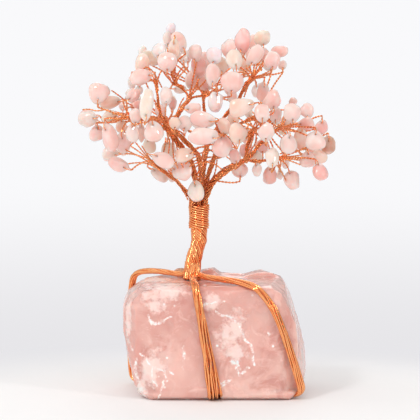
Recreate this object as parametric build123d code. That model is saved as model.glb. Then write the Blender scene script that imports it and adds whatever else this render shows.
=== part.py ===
from build123d import *

import math
import os

import numpy as np

os.makedirs("parts", exist_ok=True)

# Gemstone tree: drilled rose quartz chips on twisted copper wire, tied by its
# root strands to a rough block of the same stone.  Millimetres, +Z up, +X to
# the right and +Y away from the viewer.  The origin is the middle of the
# stone's flat foot.

# Overall sizes
tree_height = 140.0
crown_half_width = 49.0
crown_half_depth = 36.0
crown_bottom_height = 74.0

# Stone
stone_width = 69.0
stone_depth = 45.0
stone_height = 43.0

# Wires, each twig being one wire doubled through its chip
twig_thickness = 0.42
limb_thickness = 2.8
knot_thickness = 3.9
trunk_thickness = 6.4
wrap_thickness = 0.42
wrap_pitch = 0.85
wrap_length = 7.4
root_thickness = 2.2
root_width = 3.4
root_tuck = 9.0

# Chips
chip_length = 8.4
hole_diameter = 0.9

# Clearances and the overrun of the cuts
chip_gap = 0.75
wire_gap = 0.16
knot_gap = 0.05
wrap_gap = 0.12
root_gap = 0.3
stem_lead = 1.7
loop_drop = 1.1
push_step = 1.2
sample_step = 0.5
overrun = 12.0

# The photograph: its scale, its middle and how far the camera looks down
VIEW_DROP = 8.6
MIDDLE_PIXEL_X = 215
FLOOR_PIXEL_Y = 392
TOP_PIXEL_Y = 23
FORK_PIXEL = (199, 205)
FOOT_PIXEL = (192, 272)
CHIP_PIXELS = 22.4
view_sine = math.sin(math.radians(VIEW_DROP))
view_cosine = math.cos(math.radians(VIEW_DROP))
pixel = tree_height * view_cosine / (FLOOR_PIXEL_Y - TOP_PIXEL_Y)

# Knots where twigs fan out: pixel x and y, and depth as a share of the crown's
KNOT_PLACES = {
    "left": (128, 118, -0.30),
    "left_middle": (166, 128, -0.15),
    "low_left": (148, 158, -0.32),
    "bough": (165, 121, -0.34),
    "crossing": (200, 157, -0.19),
    "upper_left": (156, 80, -0.18),
    "top_left": (172, 84, 0.06),
    "top": (190, 97, 0.08),
    "top_middle": (215, 92, 0.14),
    "top_right": (254, 77, -0.05),
    "centre": (217, 128, -0.10),
    "centre_right": (256, 127, 0.16),
    "elbow": (253, 131, -0.20),
    "right": (281, 127, -0.10),
    "low_right": (281, 157, -0.25),
    "right_middle": (247, 160, -0.16),
    "fork": (203, 180, 0.14),
    "back_left": (165, 118, 0.52),
    "back_top": (203, 88, 0.46),
    "back_right": (258, 116, 0.52),
    "back_low": (207, 142, 0.50),
}

# Limbs: where each leaves the trunk's top, as shares of its radius, and its
# routes, each with its start, its bends, its end knot and its thickness share
LIMBS = {
    "limb_left": ((-0.45, -0.10), [
        ("trunk", [(196, 186, -0.04), (193, 166, -0.08), (183, 148, -0.12)],
         "left_middle", 0.98),
        ("left_middle", [(159, 112, -0.22), (158, 96, -0.22)], "upper_left", 0.55),
        ("left_middle", [(149, 120, -0.24)], "left", 0.65),
        ("left_middle", [(179, 115, -0.04)], "top", 0.65),
        ("top", [(182, 87, 0.08)], "top_left", 0.50),
        ("top", [(203, 97, 0.12)], "top_middle", 0.50),
    ]),
    "limb_centre": ((0.40, 0.56), [
        ("trunk", [(205, 184, 0.0), (213, 162, -0.02), (218, 145, -0.06)],
         "centre", 0.8),
        ("centre", [(228, 112, 0.04), (240, 98, 0.05), (244, 86, 0.0)],
         "top_right", 0.6),
        ("centre", [(229, 142, -0.12), (243, 138, -0.17)], "elbow", 0.85),
    ]),
    "limb_right": ((0.62, -0.28), [
        ("trunk", [(208, 191, -0.05), (212, 181, -0.10), (224, 172, -0.14),
                   (237, 163, -0.16)], "right_middle", 1.05),
        ("right_middle", [(264, 162, -0.22)], "low_right", 0.55),
        ("right_middle", [(258, 147, -0.09), (270, 134, -0.06)], "right", 0.65),
        ("right_middle", [(247, 143, 0.05)], "centre_right", 0.65),
    ]),
    "limb_middle": ((0.0, -0.78), [
        ("trunk", [(200, 176, -0.15)], "crossing", 0.62),
        ("crossing", [(190, 147, -0.25), (178, 134, -0.29)], "bough", 0.80),
    ]),
    "limb_low_left": ((-0.95, -0.66), [
        ("trunk", [(185, 192, -0.13), (179, 183, -0.18), (163, 171, -0.28)],
         "low_left", 0.62),
    ]),
    "limb_back": ((-0.30, 0.68), [
        ("trunk", [(198, 192, 0.14)], "fork", 0.75),
        ("fork", [(205, 160, 0.36)], "back_low", 0.75),
        ("back_low", [(186, 128, 0.56)], "back_left", 0.55),
        ("back_low", [(204, 115, 0.56)], "back_top", 0.55),
        ("back_low", [(232, 126, 0.57)], "back_right", 0.55),
    ]),
}

# Chips of each knot: pixel x and y of the middle, length and width in pixels,
# lean of the long axis in degrees, and the place between the crown's front
# face at -1 and its back face at +1.  A lean past 90 keeps the hole on top.
CHIP_PLACES = {
    "left": [
        (98, 93, 23, 21, 0, -0.60), (111, 103, 22, 13, 80, -0.20),
        (88, 119, 21, 17, 75, -0.20), (110, 117, 17, 14, 80, -0.45),
        (97, 133, 17, 16, 0, -0.10), (110, 138, 29, 17, -15, -0.70),
        (123, 143, 25, 16, 0, -0.25), (134, 133, 20, 14, 0, -0.60),
        (133, 96, 18, 13, 60, -0.35), (137, 107, 14, 13, 0, 0.10),
        (136, 117, 17, 12, 0, -0.75), (123, 106, 10, 8, 0, 0.15),
        (121, 126, 14, 11, 0, 0.10),
    ],
    "left_middle": [
        (141, 133, 20, 8, 0, 0.00), (172, 103, 16, 8, 0, 0.20),
        (185, 124, 16, 14, 0, -0.35), (160, 110, 14, 12, 0, 0.20),
        (149, 145, 17, 14, 0, 0.35), (168, 149, 17, 15, 0, 0.45),
    ],
    "bough": [
        (148, 106, 34, 14, 8, -0.85), (153, 132, 21, 19, 0, -0.80),
        (166, 98, 21, 12, 0, -0.50), (175, 124, 13, 12, 0, -0.60),
    ],
    "low_left": [
        (119, 165, 23, 14, -70, -0.40), (110, 154, 17, 13, 90, 0.05),
        (159, 174, 24, 14, -55, 0.10), (163, 161, 24, 16, -65, -0.80),
        (182, 170, 22, 18, 90, -0.50), (172, 175, 14, 8, 0, 0.00),
    ],
    "crossing": [
        (184, 156, 21, 15, 80, -0.60),
    ],
    "fork": [
        (196, 191, 22, 17, 0, -0.50), (240, 170, 17, 16, 0, 0.20),
    ],
    "upper_left": [
        (143, 52, 12, 9, 0, -0.10), (152, 59, 24, 12, -55, -0.20),
        (142, 65, 22, 14, 10, -0.60), (142, 79, 24, 17, 70, -0.75),
        (132, 82, 15, 8, 0, 0.10), (139, 90, 10, 9, 0, 0.15),
    ],
    "top_left": [
        (160, 52, 17, 16, 0, -0.50), (171, 30, 14, 10, 0, 0.00),
        (168, 40, 17, 10, 0, -0.15), (179, 43, 22, 13, -30, -0.30),
        (175, 50, 22, 12, 180, -0.80), (167, 64, 21, 20, 0, -0.60),
        (184, 57, 15, 9, 0, -0.15), (188, 57, 14, 8, 0, 0.25),
        (180, 89, 14, 8, 90, 0.50),
    ],
    "top": [
        (196, 54, 18, 14, 0, -0.10), (198, 68, 24, 16, 0, 0.10),
        (214, 57, 18, 16, 0, -0.30), (206, 83, 18, 16, 0, 0.20),
        (193, 109, 17, 12, 90, -0.55), (204, 60, 18, 14, 0, 0.30),
        (192, 79, 20, 13, 10, 0.35),
    ],
    "top_middle": [
        (222, 66, 18, 14, 0, -0.30), (212, 76, 24, 15, 0, -0.40),
        (231, 84, 23, 22, 0, -0.75), (232, 97, 16, 10, 0, -0.10),
        (216, 102, 20, 16, 0, -0.50),
    ],
    "top_right": [
        (229, 49, 20, 16, 0, -0.10), (243, 42, 26, 17, 0, -0.60),
        (235, 61, 21, 18, 0, -0.80), (254, 56, 26, 16, 30, -0.55),
        (262, 39, 18, 16, 0, -0.10), (271, 62, 19, 17, 0, -0.60),
        (279, 52, 19, 12, 75, -0.20), (283, 65, 9, 8, 0, 0.10),
        (256, 91, 13, 9, 0, 0.20), (262, 92, 20, 12, 10, -0.20),
        (263, 55, 18, 12, 0, 0.15), (244, 66, 16, 14, 0, 0.30),
        (253, 43, 18, 12, 0, 0.10),
    ],
    "centre_right": [
        (249, 113, 9, 8, 0, 0.25), (272, 101, 22, 20, 0, -0.50),
        (276, 116, 17, 12, 15, -0.35), (248, 136, 16, 14, 0, 0.45),
        (233, 119, 15, 12, 0, 0.30),
    ],
    "elbow": [
        (241, 108, 27, 18, 75, -0.70), (262, 114, 20, 16, 0, -0.80),
        (266, 133, 20, 17, 0, -0.98),
    ],
    "centre": [
        (203, 120, 28, 16, 90, -0.70), (203, 136, 31, 19, 90, -0.92),
        (224, 127, 18, 14, 0, -0.60), (237, 134, 22, 20, 0, -0.70),
        (223, 146, 24, 22, 180, -0.85),
    ],
    "right": [
        (291, 114, 20, 19, 0, -0.55), (293, 102, 10, 8, 0, 0.10),
        (307, 111, 16, 15, 0, -0.10), (306, 125, 18, 13, 90, -0.30),
        (322, 127, 15, 13, 0, 0.00), (315, 141, 20, 19, 0, -0.70),
        (328, 145, 20, 16, 0, 0.10), (288, 144, 21, 18, 0, -0.85),
        (300, 138, 26, 15, 0, 0.10), (283, 131, 8, 8, 0, 0.30),
        (286, 122, 14, 12, 0, 0.35), (313, 152, 16, 12, 70, 0.30),
    ],
    "low_right": [
        (271, 158, 22, 14, 0, -0.85), (270, 175, 19, 14, 0, -0.10),
        (292, 180, 20, 17, -20, -0.40), (280, 175, 10, 7, 0, 0.10),
        (307, 160, 17, 15, 0, -0.55), (318, 158, 19, 15, 80, -0.10),
        (320, 171, 20, 15, -25, -0.40), (286, 163, 12, 7, 0, 0.20),
    ],
    "right_middle": [
        (257, 170, 14, 11, 0, -0.30), (235, 157, 16, 12, 0, -0.50),
        (246, 150, 18, 13, 0, 0.05), (256, 156, 15, 12, 0, 0.20),
        (263, 146, 16, 14, 0, 0.40),
    ],
}

# The back of the crown, which the photograph hides: a chip straight behind
# every other front chip, on the nearest back knot
BACK_KNOTS = ("back_left", "back_top", "back_right", "back_low")
BACK_DEPTH_SHARES = (0.95, 0.55, 0.80)
BACK_EVERY = 2

# Chip shape: angles from the hole end to the free end that place its rings
RING_ANGLES = (13, 33, 60, 90, 120, 147, 167)
HOLE_ANGLE = 53
TAPER_SHARES = (0.08, 0.42)
FLATNESS_SHARES = (0.50, 0.74)
BEND_SHARES = (-0.09, 0.09)
TILT_ANGLES = (-24, 24)
YAW_ANGLES = (-30, 30)
GOLDEN_SHARE = 0.6180339887
BOW_SHARES = (0.06, 0.14, 0.24, 0.36, 0.50, 0.75, 1.0)

# Chips: where the scatter starts, the greatest depth as a share of the length,
# the loop's shoulder between end and hole, and points tested on the skin
START_SHARE = 0.31
THICKEST_SHARE = 0.8
SHOULDER_SHARE = 0.12
SKIN_COUNT = 60
# The crown's depth at its rim, squared, as a share of its depth in the middle
RIM_SHARE = 0.2
# Depths tried for a chip, each way from the wanted one
PUSH_COUNT = 24
# Twigs: rounds that spread their starts on a knot, and how a stem may bow, its
# bend's place along it, the turns about it and each chip's own first turn
SPREAD_ROUNDS = 80
NUDGE_SHARE = 1e-6
BOW_AXIS = (0.31, 0.47, 0.83)
BEND_PLACE_SHARES = (0.5, 0.32, 0.68)
BOW_TURNS = 8
CHIP_TURN = 40
# Paths: the turn that counts as straight, and an arc's reach along its run
STRAIGHT_ANGLE = 1
ARC_SHARE = 0.45
# Knots: directions tried for the poles, and how near a seam may come to them
POLE_COUNT = 200
LEVEL_SHARE = 0.9
# Root strands: a face seen edge on is skipped, and so is a run this short
EDGE_ON_SHARE = 0.02
SHORTEST_RUN_SHARE = 1.6
# Points on each turn of the wrap where its gap to itself is measured
POINTS_PER_TURN = 36

# Trunk: its girth at the foot, how much higher its places stand than their
# pixels say, and places on its centre line, each with its girth, all as shares
FOOT_SHARE = 1.12
CLIMB_SHARE = 1.1
TRUNK_PLACES = (
    (192.5, 264, 0.98), (194, 250, 0.90), (197, 236, 0.84), (199, 227, 0.92),
)

# Root strands: heading from the trunk and lean of the strand's plane
ROOTS = {
    "root_strand_front": (-86, 10),
    "root_strand_right": (-39, 18),
    "root_strand_left": (140, 0),
    "root_strand_back": (108, 0),
}

# Stone: outlines as shares of its half width, half depth and height

FRONT_SHARES = (
    (-0.72, 0.0), (-0.80, 0.03), (-0.92, 0.13), (-0.97, 0.33), (-1.0, 0.56),
    (-1.0, 0.79), (-0.95, 0.88), (-0.80, 0.98), (-0.66, 1.0), (0.70, 1.0),
    (0.77, 0.95), (0.93, 0.55), (0.99, 0.36), (1.0, 0.20), (0.97, 0.08),
    (0.80, 0.0),
)
SIDE_SHARES = (
    (-0.80, 0.0), (-0.95, 0.035), (-1.0, 0.14), (-0.985, 0.50), (-0.93, 0.92),
    (-0.86, 1.0), (0.62, 1.0), (0.86, 0.90), (1.0, 0.66), (0.98, 0.22),
    (0.90, 0.04), (0.76, 0.0),
)
PLAN_SHARES = (
    (-1.0, -0.50), (-0.86, -0.86), (-0.62, -1.0), (0.66, -0.98), (0.90, -0.80),
    (1.0, -0.30), (0.98, 0.45), (0.78, 0.92), (-0.55, 1.0), (-0.93, 0.72),
    (-1.0, 0.30),
)
# Broken facets: a direction, and a share of the stone's reach that way
FACET_SHARES = (
    (-0.62, -0.66, -0.42, 0.80), (-0.70, -0.55, 0.46, 0.86),
    (0.74, -0.52, 0.42, 0.84), (0.60, -0.62, -0.50, 0.86),
    (-0.30, -0.80, 0.52, 0.93), (0.66, 0.62, 0.42, 0.86),
    (-0.62, 0.60, 0.50, 0.86), (0.10, 0.86, -0.50, 0.90),
)
# Ridge behind the trunk: its outline, and its span from front to back
RIDGE_SHARES = (
    (-0.24, 0.90), (-0.15, 1.055), (-0.03, 1.08), (0.06, 1.015), (0.30, 1.005),
    (0.45, 1.04), (0.63, 1.045), (0.73, 0.985), (0.74, 0.90),
)
RIDGE_DEPTH_SHARES = (0.16, 0.56)


def place(pixel_x, pixel_y, depth):
    """Turn a pixel of the photograph and a depth into a point."""
    height = (FLOOR_PIXEL_Y - pixel_y) * pixel
    return np.array([
        (pixel_x - MIDDLE_PIXEL_X) * pixel,
        depth,
        (height - depth * view_sine) / view_cosine,
    ])


def shell_depth(pixel_x, pixel_y, depth_share):
    """Give the depth of a share between the crown's front and back faces."""
    crown_middle = (tree_height + crown_bottom_height) / 2
    crown_half_height = (tree_height - crown_bottom_height) / 2
    point = place(pixel_x, pixel_y, 0)
    across = point[0] / crown_half_width
    up = (point[2] - crown_middle) / crown_half_height
    inside = max(RIM_SHARE, 1 - across**2 - up**2)
    return depth_share * crown_half_depth * math.sqrt(inside)


def between(shares, number, step):
    """Pick an evenly scattered value between two limits."""
    low, high = shares
    return low + (high - low) * ((number * GOLDEN_SHARE + START_SHARE) * step % 1)


def unit(vector):
    return vector / np.linalg.norm(vector)


def sampled(points, step):
    """List points along straight runs, a step apart."""
    rows = [points[:1]]
    for start, end in zip(points[:-1], points[1:]):
        count = max(1, int(np.linalg.norm(end - start) / step))
        shares = np.arange(1, count + 1)[:, None] / count
        rows.append(start + (end - start) * shares)
    return np.concatenate(rows)


# Layout of the limbs

knot_radius = knot_thickness / 2
twig_radius = twig_thickness / 2
trunk_radius = trunk_thickness / 2
fork_point = place(*FORK_PIXEL, 0)
trunk_foot = np.array([place(*FOOT_PIXEL, 0)[0], -trunk_radius / 2, stone_height])
knots = {
    name: place(x, y, share * crown_half_depth)
    for name, (x, y, share) in KNOT_PLACES.items()
}


def limb_routes():
    """List each route as its limb, its two ends, its points and its radius."""
    routes = []
    for limb, (slot, branches) in LIMBS.items():
        for start, bends, end, thickness_share in branches:
            points = [place(x, y, s * crown_half_depth) for x, y, s in bends]
            if start == "trunk":
                foot = fork_point + np.array([slot[0], slot[1], 0]) * trunk_radius
                lift = np.array([0, 0, limb_thickness])
                points = [foot, foot + lift] + points
            else:
                points = [knots[start]] + points
            points.append(knots[end])
            radius = limb_thickness / 2 * thickness_share
            routes.append((limb, start, end, np.array(points), radius))
    return routes


# Layout of the chips

class Chip:
    """One drilled chip: its middle, its axes, its sizes and its wire loop."""

    def __init__(self, number, knot, row, depth):
        x, y, long_pixels, wide_pixels, lean, _ = row
        self.number = number
        self.knot = knot
        self.middle = place(x, y, depth)
        self.length = chip_length * long_pixels / CHIP_PIXELS
        self.width = chip_length * wide_pixels / CHIP_PIXELS
        self.taper = between(TAPER_SHARES, number, 1)
        self.fullness = max(self.tapered(math.radians(angle)) for angle in RING_ANGLES)
        flatness = between(FLATNESS_SHARES, number, 2)
        self.depth = min(self.width, self.length * THICKEST_SHARE) * flatness
        self.bend = between(BEND_SHARES, number, 3) * self.width
        angle = math.radians(lean)
        along = np.array([math.sin(angle), 0, math.cos(angle)])
        if abs(lean) <= 90 and along @ (self.middle - knots[knot]) < 0:
            along = -along
        across = np.array([along[2], 0, -along[0]])
        facing = np.array([0.0, -1.0, 0.0])
        tilt = math.radians(between(TILT_ANGLES, number, 4))
        along, facing = (
            along * math.cos(tilt) + facing * math.sin(tilt),
            facing * math.cos(tilt) - along * math.sin(tilt),
        )
        yaw = math.radians(between(YAW_ANGLES, number, 5))
        across, facing = (
            across * math.cos(yaw) + facing * math.sin(yaw),
            facing * math.cos(yaw) - across * math.sin(yaw),
        )
        self.axes = np.array([across, facing, along])
        self.half = np.array([
            self.width / 2 + abs(self.bend),
            self.depth / 2,
            self.length / 2,
        ])
        self.loop = self.loop_points()
        self.skin = self.middle + (SKIN_SHARES * self.half) @ self.axes

    def tapered(self, turn):
        """Give the girth of a ring before it is scaled to the chip's width."""
        return math.sin(turn) * (1 - self.taper * (1 + math.cos(turn)) / 2)

    def ring(self, angle):
        """Give a ring's place along the chip, its girth share and its shift."""
        turn = math.radians(angle)
        place_share = math.cos(turn) / math.cos(math.radians(RING_ANGLES[0]))
        girth = self.tapered(turn) / self.fullness
        return -self.length / 2 * place_share, girth, self.bend * math.sin(turn)**2

    def hole(self):
        """Give the middle of the drilled hole."""
        height, _, shift = self.ring(HOLE_ANGLE)
        return self.middle + self.axes[2] * height + self.axes[0] * shift

    def loop_points(self):
        """Route the wire from its stem, through the hole and back beside it."""
        across, facing, along = self.axes
        if (knots[self.knot] - self.middle) @ facing < 0:
            facing = -facing
        girth = self.ring(HOLE_ANGLE)[1]
        reach = facing * (self.depth * girth / 2 + twig_radius + wire_gap)
        end = self.middle - along * self.length / 2
        hole = self.hole()
        shoulder = end + (hole - end) * SHOULDER_SHARE
        close = end - along * loop_drop
        beside = facing * (twig_thickness + wire_gap)
        return np.array([
            close, shoulder + reach, hole + reach,
            hole - reach, shoulder - reach, close - beside,
        ])


def sphere_shares(count):
    """Scatter points evenly over a unit sphere."""
    heights = 1 - 2 * (np.arange(count) + 0.5) / count
    turns = 2 * math.pi * GOLDEN_SHARE * np.arange(count)
    girths = np.sqrt(1 - heights**2)
    return np.column_stack([girths * np.cos(turns), girths * np.sin(turns), heights])


SKIN_SHARES = sphere_shares(SKIN_COUNT)


def touches(points, chip, margin):
    """Say whether any point lies in a chip grown by a margin."""
    local = (points - chip.middle) @ chip.axes.T / (chip.half + margin)
    return bool(((local**2).sum(axis=1) < 1).any())


def near(points, others, distance):
    """Say whether any point lies closer to the others than a distance."""
    if not len(others):
        return False
    low = points.min(axis=0) - distance
    high = points.max(axis=0) + distance
    others = others[((others > low) & (others < high)).all(axis=1)]
    if not len(others):
        return False
    gaps = points[:, None] - others[None]
    return bool(((gaps**2).sum(axis=2) < distance**2).any())


def chip_is_clear(chip, chips, limb_runs):
    """Test a chip and its loop against the limbs and the chips in place."""
    loop = sampled(chip.loop, sample_step)
    margin = twig_radius + wire_gap
    for points, radius in limb_runs:
        if touches(points, chip, radius + wire_gap):
            return False
        if near(loop, points, radius + twig_radius + wire_gap):
            return False
    for other in chips:
        reach = chip.half.max() + other.half.max() + loop_drop + chip_gap
        if np.linalg.norm(chip.middle - other.middle) > reach:
            continue
        if touches(chip.skin, other, chip_gap) or touches(other.skin, chip, chip_gap):
            return False
        if touches(loop, other, margin):
            return False
        other_loop = sampled(other.loop, sample_step)
        if touches(other_loop, chip, margin):
            return False
        if near(loop, other_loop, twig_thickness + wire_gap):
            return False
    return True


def depth_tries(depth):
    """List depths about a wanted one, nearest first."""
    yield depth
    for count in range(1, PUSH_COUNT):
        yield depth + push_step * count
        yield depth - push_step * count


def settle_chip(number, knot, row, chips, limb_runs):
    """Slide a chip along the line of sight until it is clear."""
    wanted = shell_depth(row[0], row[1], row[5])
    for depth in depth_tries(wanted):
        chip = Chip(number, knot, row, depth)
        if chip_is_clear(chip, chips, limb_runs):
            return chip
    print("chip without room", knot, row)
    return Chip(number, knot, row, wanted)


def settled_chips(limb_runs):
    """Settle the chips of the photograph, then those behind them."""
    chips = []
    for knot, rows in CHIP_PLACES.items():
        for row in rows:
            chips.append(settle_chip(len(chips), knot, row, chips, limb_runs))
    front = [row for rows in CHIP_PLACES.values() for row in rows]
    for count, row in enumerate(front[::BACK_EVERY]):
        share = BACK_DEPTH_SHARES[count % len(BACK_DEPTH_SHARES)]
        row = row[:4] + (-row[4] if abs(row[4]) <= 90 else 0, share)
        spot = place(row[0], row[1], shell_depth(row[0], row[1], share))
        knot = min(BACK_KNOTS, key=lambda name: np.linalg.norm(knots[name] - spot))
        chips.append(settle_chip(len(chips), knot, row, chips, limb_runs))
    return chips


# Layout of the twigs

def spread_starts(wanted, fixed):
    """Turn the starts on a knot apart from each other and from its limbs."""
    starts = [unit(direction) for direction in wanted]
    least = 2 * math.asin((twig_thickness + wire_gap) / 2 / knot_radius)
    for _ in range(SPREAD_ROUNDS):
        for index, start in enumerate(starts):
            push = np.zeros(3)
            for other, angle in fixed:
                short = angle - math.acos(max(-1, min(1, start @ other)))
                if short > 0:
                    push += unit(start - other * (start @ other) + NUDGE_SHARE) * short
            for second, other in enumerate(starts):
                if second == index:
                    continue
                short = least - math.acos(max(-1, min(1, start @ other)))
                if short > 0:
                    push += unit(start - other * (start @ other) + NUDGE_SHARE) * short / 2
            starts[index] = unit(start + push)
    return starts


def stem_tries(start, lead, chip):
    """List stems from a knot to a chip's loop, the straightest first."""
    close = chip.loop[0]
    below = close - chip.axes[2] * loop_drop
    turn = (close - lead) @ chip.axes[2]
    tails = ([below, close], [close]) if turn < 0 else ([close], [below, close])
    for bow in BOW_SHARES:
        for tail in tails:
            span = tail[0] - lead
            length = np.linalg.norm(span)
            side = unit(np.cross(span, BOW_AXIS))
            other = unit(np.cross(span, side))
            for place_share in BEND_PLACE_SHARES:
                for step in range(BOW_TURNS):
                    turn = math.radians(360 / BOW_TURNS * step + CHIP_TURN * chip.number)
                    offset = side * math.cos(turn) + other * math.sin(turn)
                    bend = lead + span * place_share + offset * bow * length
                    yield np.array([start, lead, bend] + tail)


def stem_is_clear(stem, chip, chips, limb_runs, wire_points):
    """Test a stem against every chip, limb and wire but its own knot."""
    points = sampled(stem, sample_step)
    margin = twig_radius + wire_gap
    low = points.min(axis=0)
    high = points.max(axis=0)
    for other in chips:
        reach = other.half.max() + margin
        if (other.middle + reach < low).any() or (other.middle - reach > high).any():
            continue
        if touches(points, other, margin):
            return False
    away = np.linalg.norm(points - knots[chip.knot], axis=1) > knot_radius + stem_lead
    outer = points[away]
    if not len(outer):
        return True
    for run, radius in limb_runs:
        if near(outer, run, radius + twig_radius + wire_gap):
            return False
    return not near(outer, wire_points, twig_thickness + wire_gap)


def routed_twigs(chips, routes, limb_runs):
    """Route each chip's twig from its knot, the shortest first."""
    twigs = {}
    loops = {chip.number: sampled(chip.loop, sample_step) for chip in chips}
    jobs = []
    for knot, centre in knots.items():
        members = [chip for chip in chips if chip.knot == knot]
        fixed = []
        for _, start, end, points, radius in routes:
            angle = math.asin(min(1, (radius + twig_radius + wire_gap) / knot_radius))
            if end == knot:
                fixed.append((unit(points[-2] - centre), angle))
            if start == knot:
                fixed.append((unit(points[1] - centre), angle))
        starts = spread_starts([chip.loop[0] - centre for chip in members], fixed)
        for chip, direction in zip(members, starts):
            jobs.append((np.linalg.norm(chip.loop[0] - centre), chip.number, chip,
                         direction))
    jobs.sort(key=lambda job: job[:2])
    failures = 0
    stems = {}
    for _, number, chip, direction in jobs:
        centre = knots[chip.knot]
        start = centre + direction * (knot_radius + knot_gap)
        lead = centre + direction * (knot_radius + stem_lead)
        others = [loops[n] for n in loops if n != number] + list(stems.values())
        wire_points = np.concatenate(others)
        best = None
        for stem in stem_tries(start, lead, chip):
            if best is None:
                best = stem
            if stem_is_clear(stem, chip, chips, limb_runs, wire_points):
                best = stem
                break
        else:
            failures += 1
            print("twig without a clear way", chip.knot, number)
        stems[number] = sampled(best, sample_step)
        twigs[number] = np.concatenate([best, chip.loop[1:]])
    print("twigs", len(twigs), "without a clear way", failures)
    return twigs


# Solids of wires and bundles

def bent_path(points):
    """Join straight runs by arcs as large as the runs allow."""
    kept = [points[0]]
    for index in range(1, len(points) - 1):
        before = unit(points[index] - kept[-1])
        after = unit(points[index + 1] - points[index])
        if before @ after < math.cos(math.radians(STRAIGHT_ANGLE)):
            kept.append(points[index])
    kept.append(points[-1])
    radii = []
    for before, corner, after in zip(kept, kept[1:], kept[2:]):
        first, second = corner - before, after - corner
        turn = math.acos(max(-1, min(1, unit(first) @ unit(second))))
        shorter = min(np.linalg.norm(first), np.linalg.norm(second))
        radii.append(ARC_SHARE * shorter / math.tan(turn / 2))
    corners = [Vector(*point) for point in kept]
    if radii:
        return FilletPolyline(*corners, radius=radii)
    return Polyline(*corners)


def tube(points, radius):
    """Sweep a round rod along a route."""
    path = bent_path(points)
    start = Plane(origin=path @ 0, z_dir=path % 0)
    return sweep(start * Circle(radius), path=path)


def chip_solid(chip):
    """Loft one tumbled chip through its rings and drill it."""
    across, facing, along = chip.axes
    rings = []
    for angle in RING_ANGLES:
        height, girth, shift = chip.ring(angle)
        centre = chip.middle + along * height + across * shift
        plane = Plane(origin=Vector(*centre), x_dir=Vector(*across), z_dir=Vector(*along))
        rings.append(plane * Ellipse(chip.width / 2 * girth, chip.depth / 2 * girth))
    hole = Plane(origin=Vector(*chip.hole()), z_dir=Vector(*facing))
    drill = hole * Cylinder(hole_diameter / 2, chip.depth + overrun)
    return loft(rings) - drill


def group(solids):
    """Gather separate solids into one node."""
    return Compound(children=solids)


def save(shape, name):
    """Write one sub-part."""
    export_step(shape, f"parts/{name}.step")


def knot_ball(knot, routes):
    """Make a knot's ball, its poles and its seam turned away from its limbs."""
    ways = []
    for _, start, end, points, _ in routes:
        if end == knot:
            ways.append(unit(points[-2] - points[-1]))
        if start == knot:
            ways.append(unit(points[1] - points[0]))
    directions = sphere_shares(POLE_COUNT)
    poles = max(directions, key=lambda d: min(1 - abs(d @ way) for way in ways))
    level = [d for d in directions if abs(d @ poles) < LEVEL_SHARE]
    level = [unit(d - poles * (d @ poles)) for d in level]
    seam = max(level, key=lambda d: min(1 - d @ way for way in ways))
    centre = Vector(*knots[knot])
    plane = Plane(origin=centre, x_dir=Vector(*seam), z_dir=Vector(*poles))
    return plane * Sphere(knot_radius)


def limb_solid(routes, limb):
    """Fuse a limb's bundles and the knots where they fork."""
    pieces = []
    ends = []
    for name, start, end, points, radius in routes:
        if name == limb:
            pieces.append(tube(points, radius))
            ends.append(end)
    for end in ends:
        pieces.append(knot_ball(end, routes))
    return pieces[0].fuse(*pieces[1:]).clean()


# Stone

half_width = stone_width / 2
half_depth = stone_depth / 2


def outline_planes(shares, across, up, across_size, up_size):
    """List the faces of a convex outline as a normal and its reach."""
    corners = [across * a * across_size + up * b * up_size for a, b in shares]
    out_of_page = np.cross(across, up)
    faces = []
    for start, end in zip(corners, corners[1:] + corners[:1]):
        normal = unit(np.cross(end - start, out_of_page))
        faces.append((normal, normal @ start))
    middle = sum(corners) / len(corners)
    return [(n, r) if n @ middle < r else (-n, -r) for n, r in faces]


def stone_faces():
    """List every flat face of the stone's main block."""
    x, y, z = np.eye(3)
    faces = outline_planes(FRONT_SHARES, x, z, half_width, stone_height)
    faces += outline_planes(SIDE_SHARES, y, z, half_depth, stone_height)
    faces += outline_planes(PLAN_SHARES, x, y, half_width, half_depth)
    middle = np.array([0, 0, stone_height / 2])
    half = np.array([half_width, half_depth, stone_height / 2])
    for *direction, share in FACET_SHARES:
        normal = unit(np.array(direction))
        corner = middle + half * np.sign(normal)
        faces.append((normal, normal @ middle + normal @ (corner - middle) * share))
    return faces


def outline_prism(shares, plane, across_size, up_size, reach):
    """Extrude an outline both ways from its plane."""
    corners = [(a * across_size, b * up_size) for a, b in shares]
    return extrude(plane * make_face(Polyline(*corners, close=True)), reach, both=True)


def strand_plane(strand):
    """Give the origin and the two directions of a root strand's plane."""
    heading, lean = ROOTS[strand]
    turn = math.radians(heading)
    out = np.array([math.cos(turn), math.sin(turn), 0])
    tip = math.radians(lean)
    sideways = np.array([-out[1], out[0], 0])
    down = sideways * math.sin(tip) - np.array([0, 0, 1]) * math.cos(tip)
    return trunk_foot, out, down


def strand_corners(strand, faces):
    """Route a strand over the stone's edge, down its side and under it."""
    origin, out, down = strand_plane(strand)
    channel = root_thickness + root_gap
    faces = faces + [(np.array([0, 0, -1.0]), -channel)]
    reach = stone_width + stone_depth
    corners = [(-reach, -reach), (reach, -reach), (reach, reach), (-reach, reach)]
    sideways = np.cross(out, down)
    for normal, distance in faces:
        slope = np.array([normal @ out, normal @ down])
        size = np.linalg.norm(slope)
        if size < EDGE_ON_SHARE:
            continue
        reach = math.hypot(root_thickness * size, root_width * (normal @ sideways)) / 2
        limit = distance - normal @ origin + reach + root_gap
        clipped = []
        for start, end in zip(corners, corners[1:] + corners[:1]):
            first = np.dot(slope, start) - limit
            second = np.dot(slope, end) - limit
            if first <= 0:
                clipped.append(start)
            if first * second < 0:
                share = first / (first - second)
                clipped.append(tuple(np.add(start, np.subtract(end, start) * share)))
        corners = clipped
    return corners, out, down, origin


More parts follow.
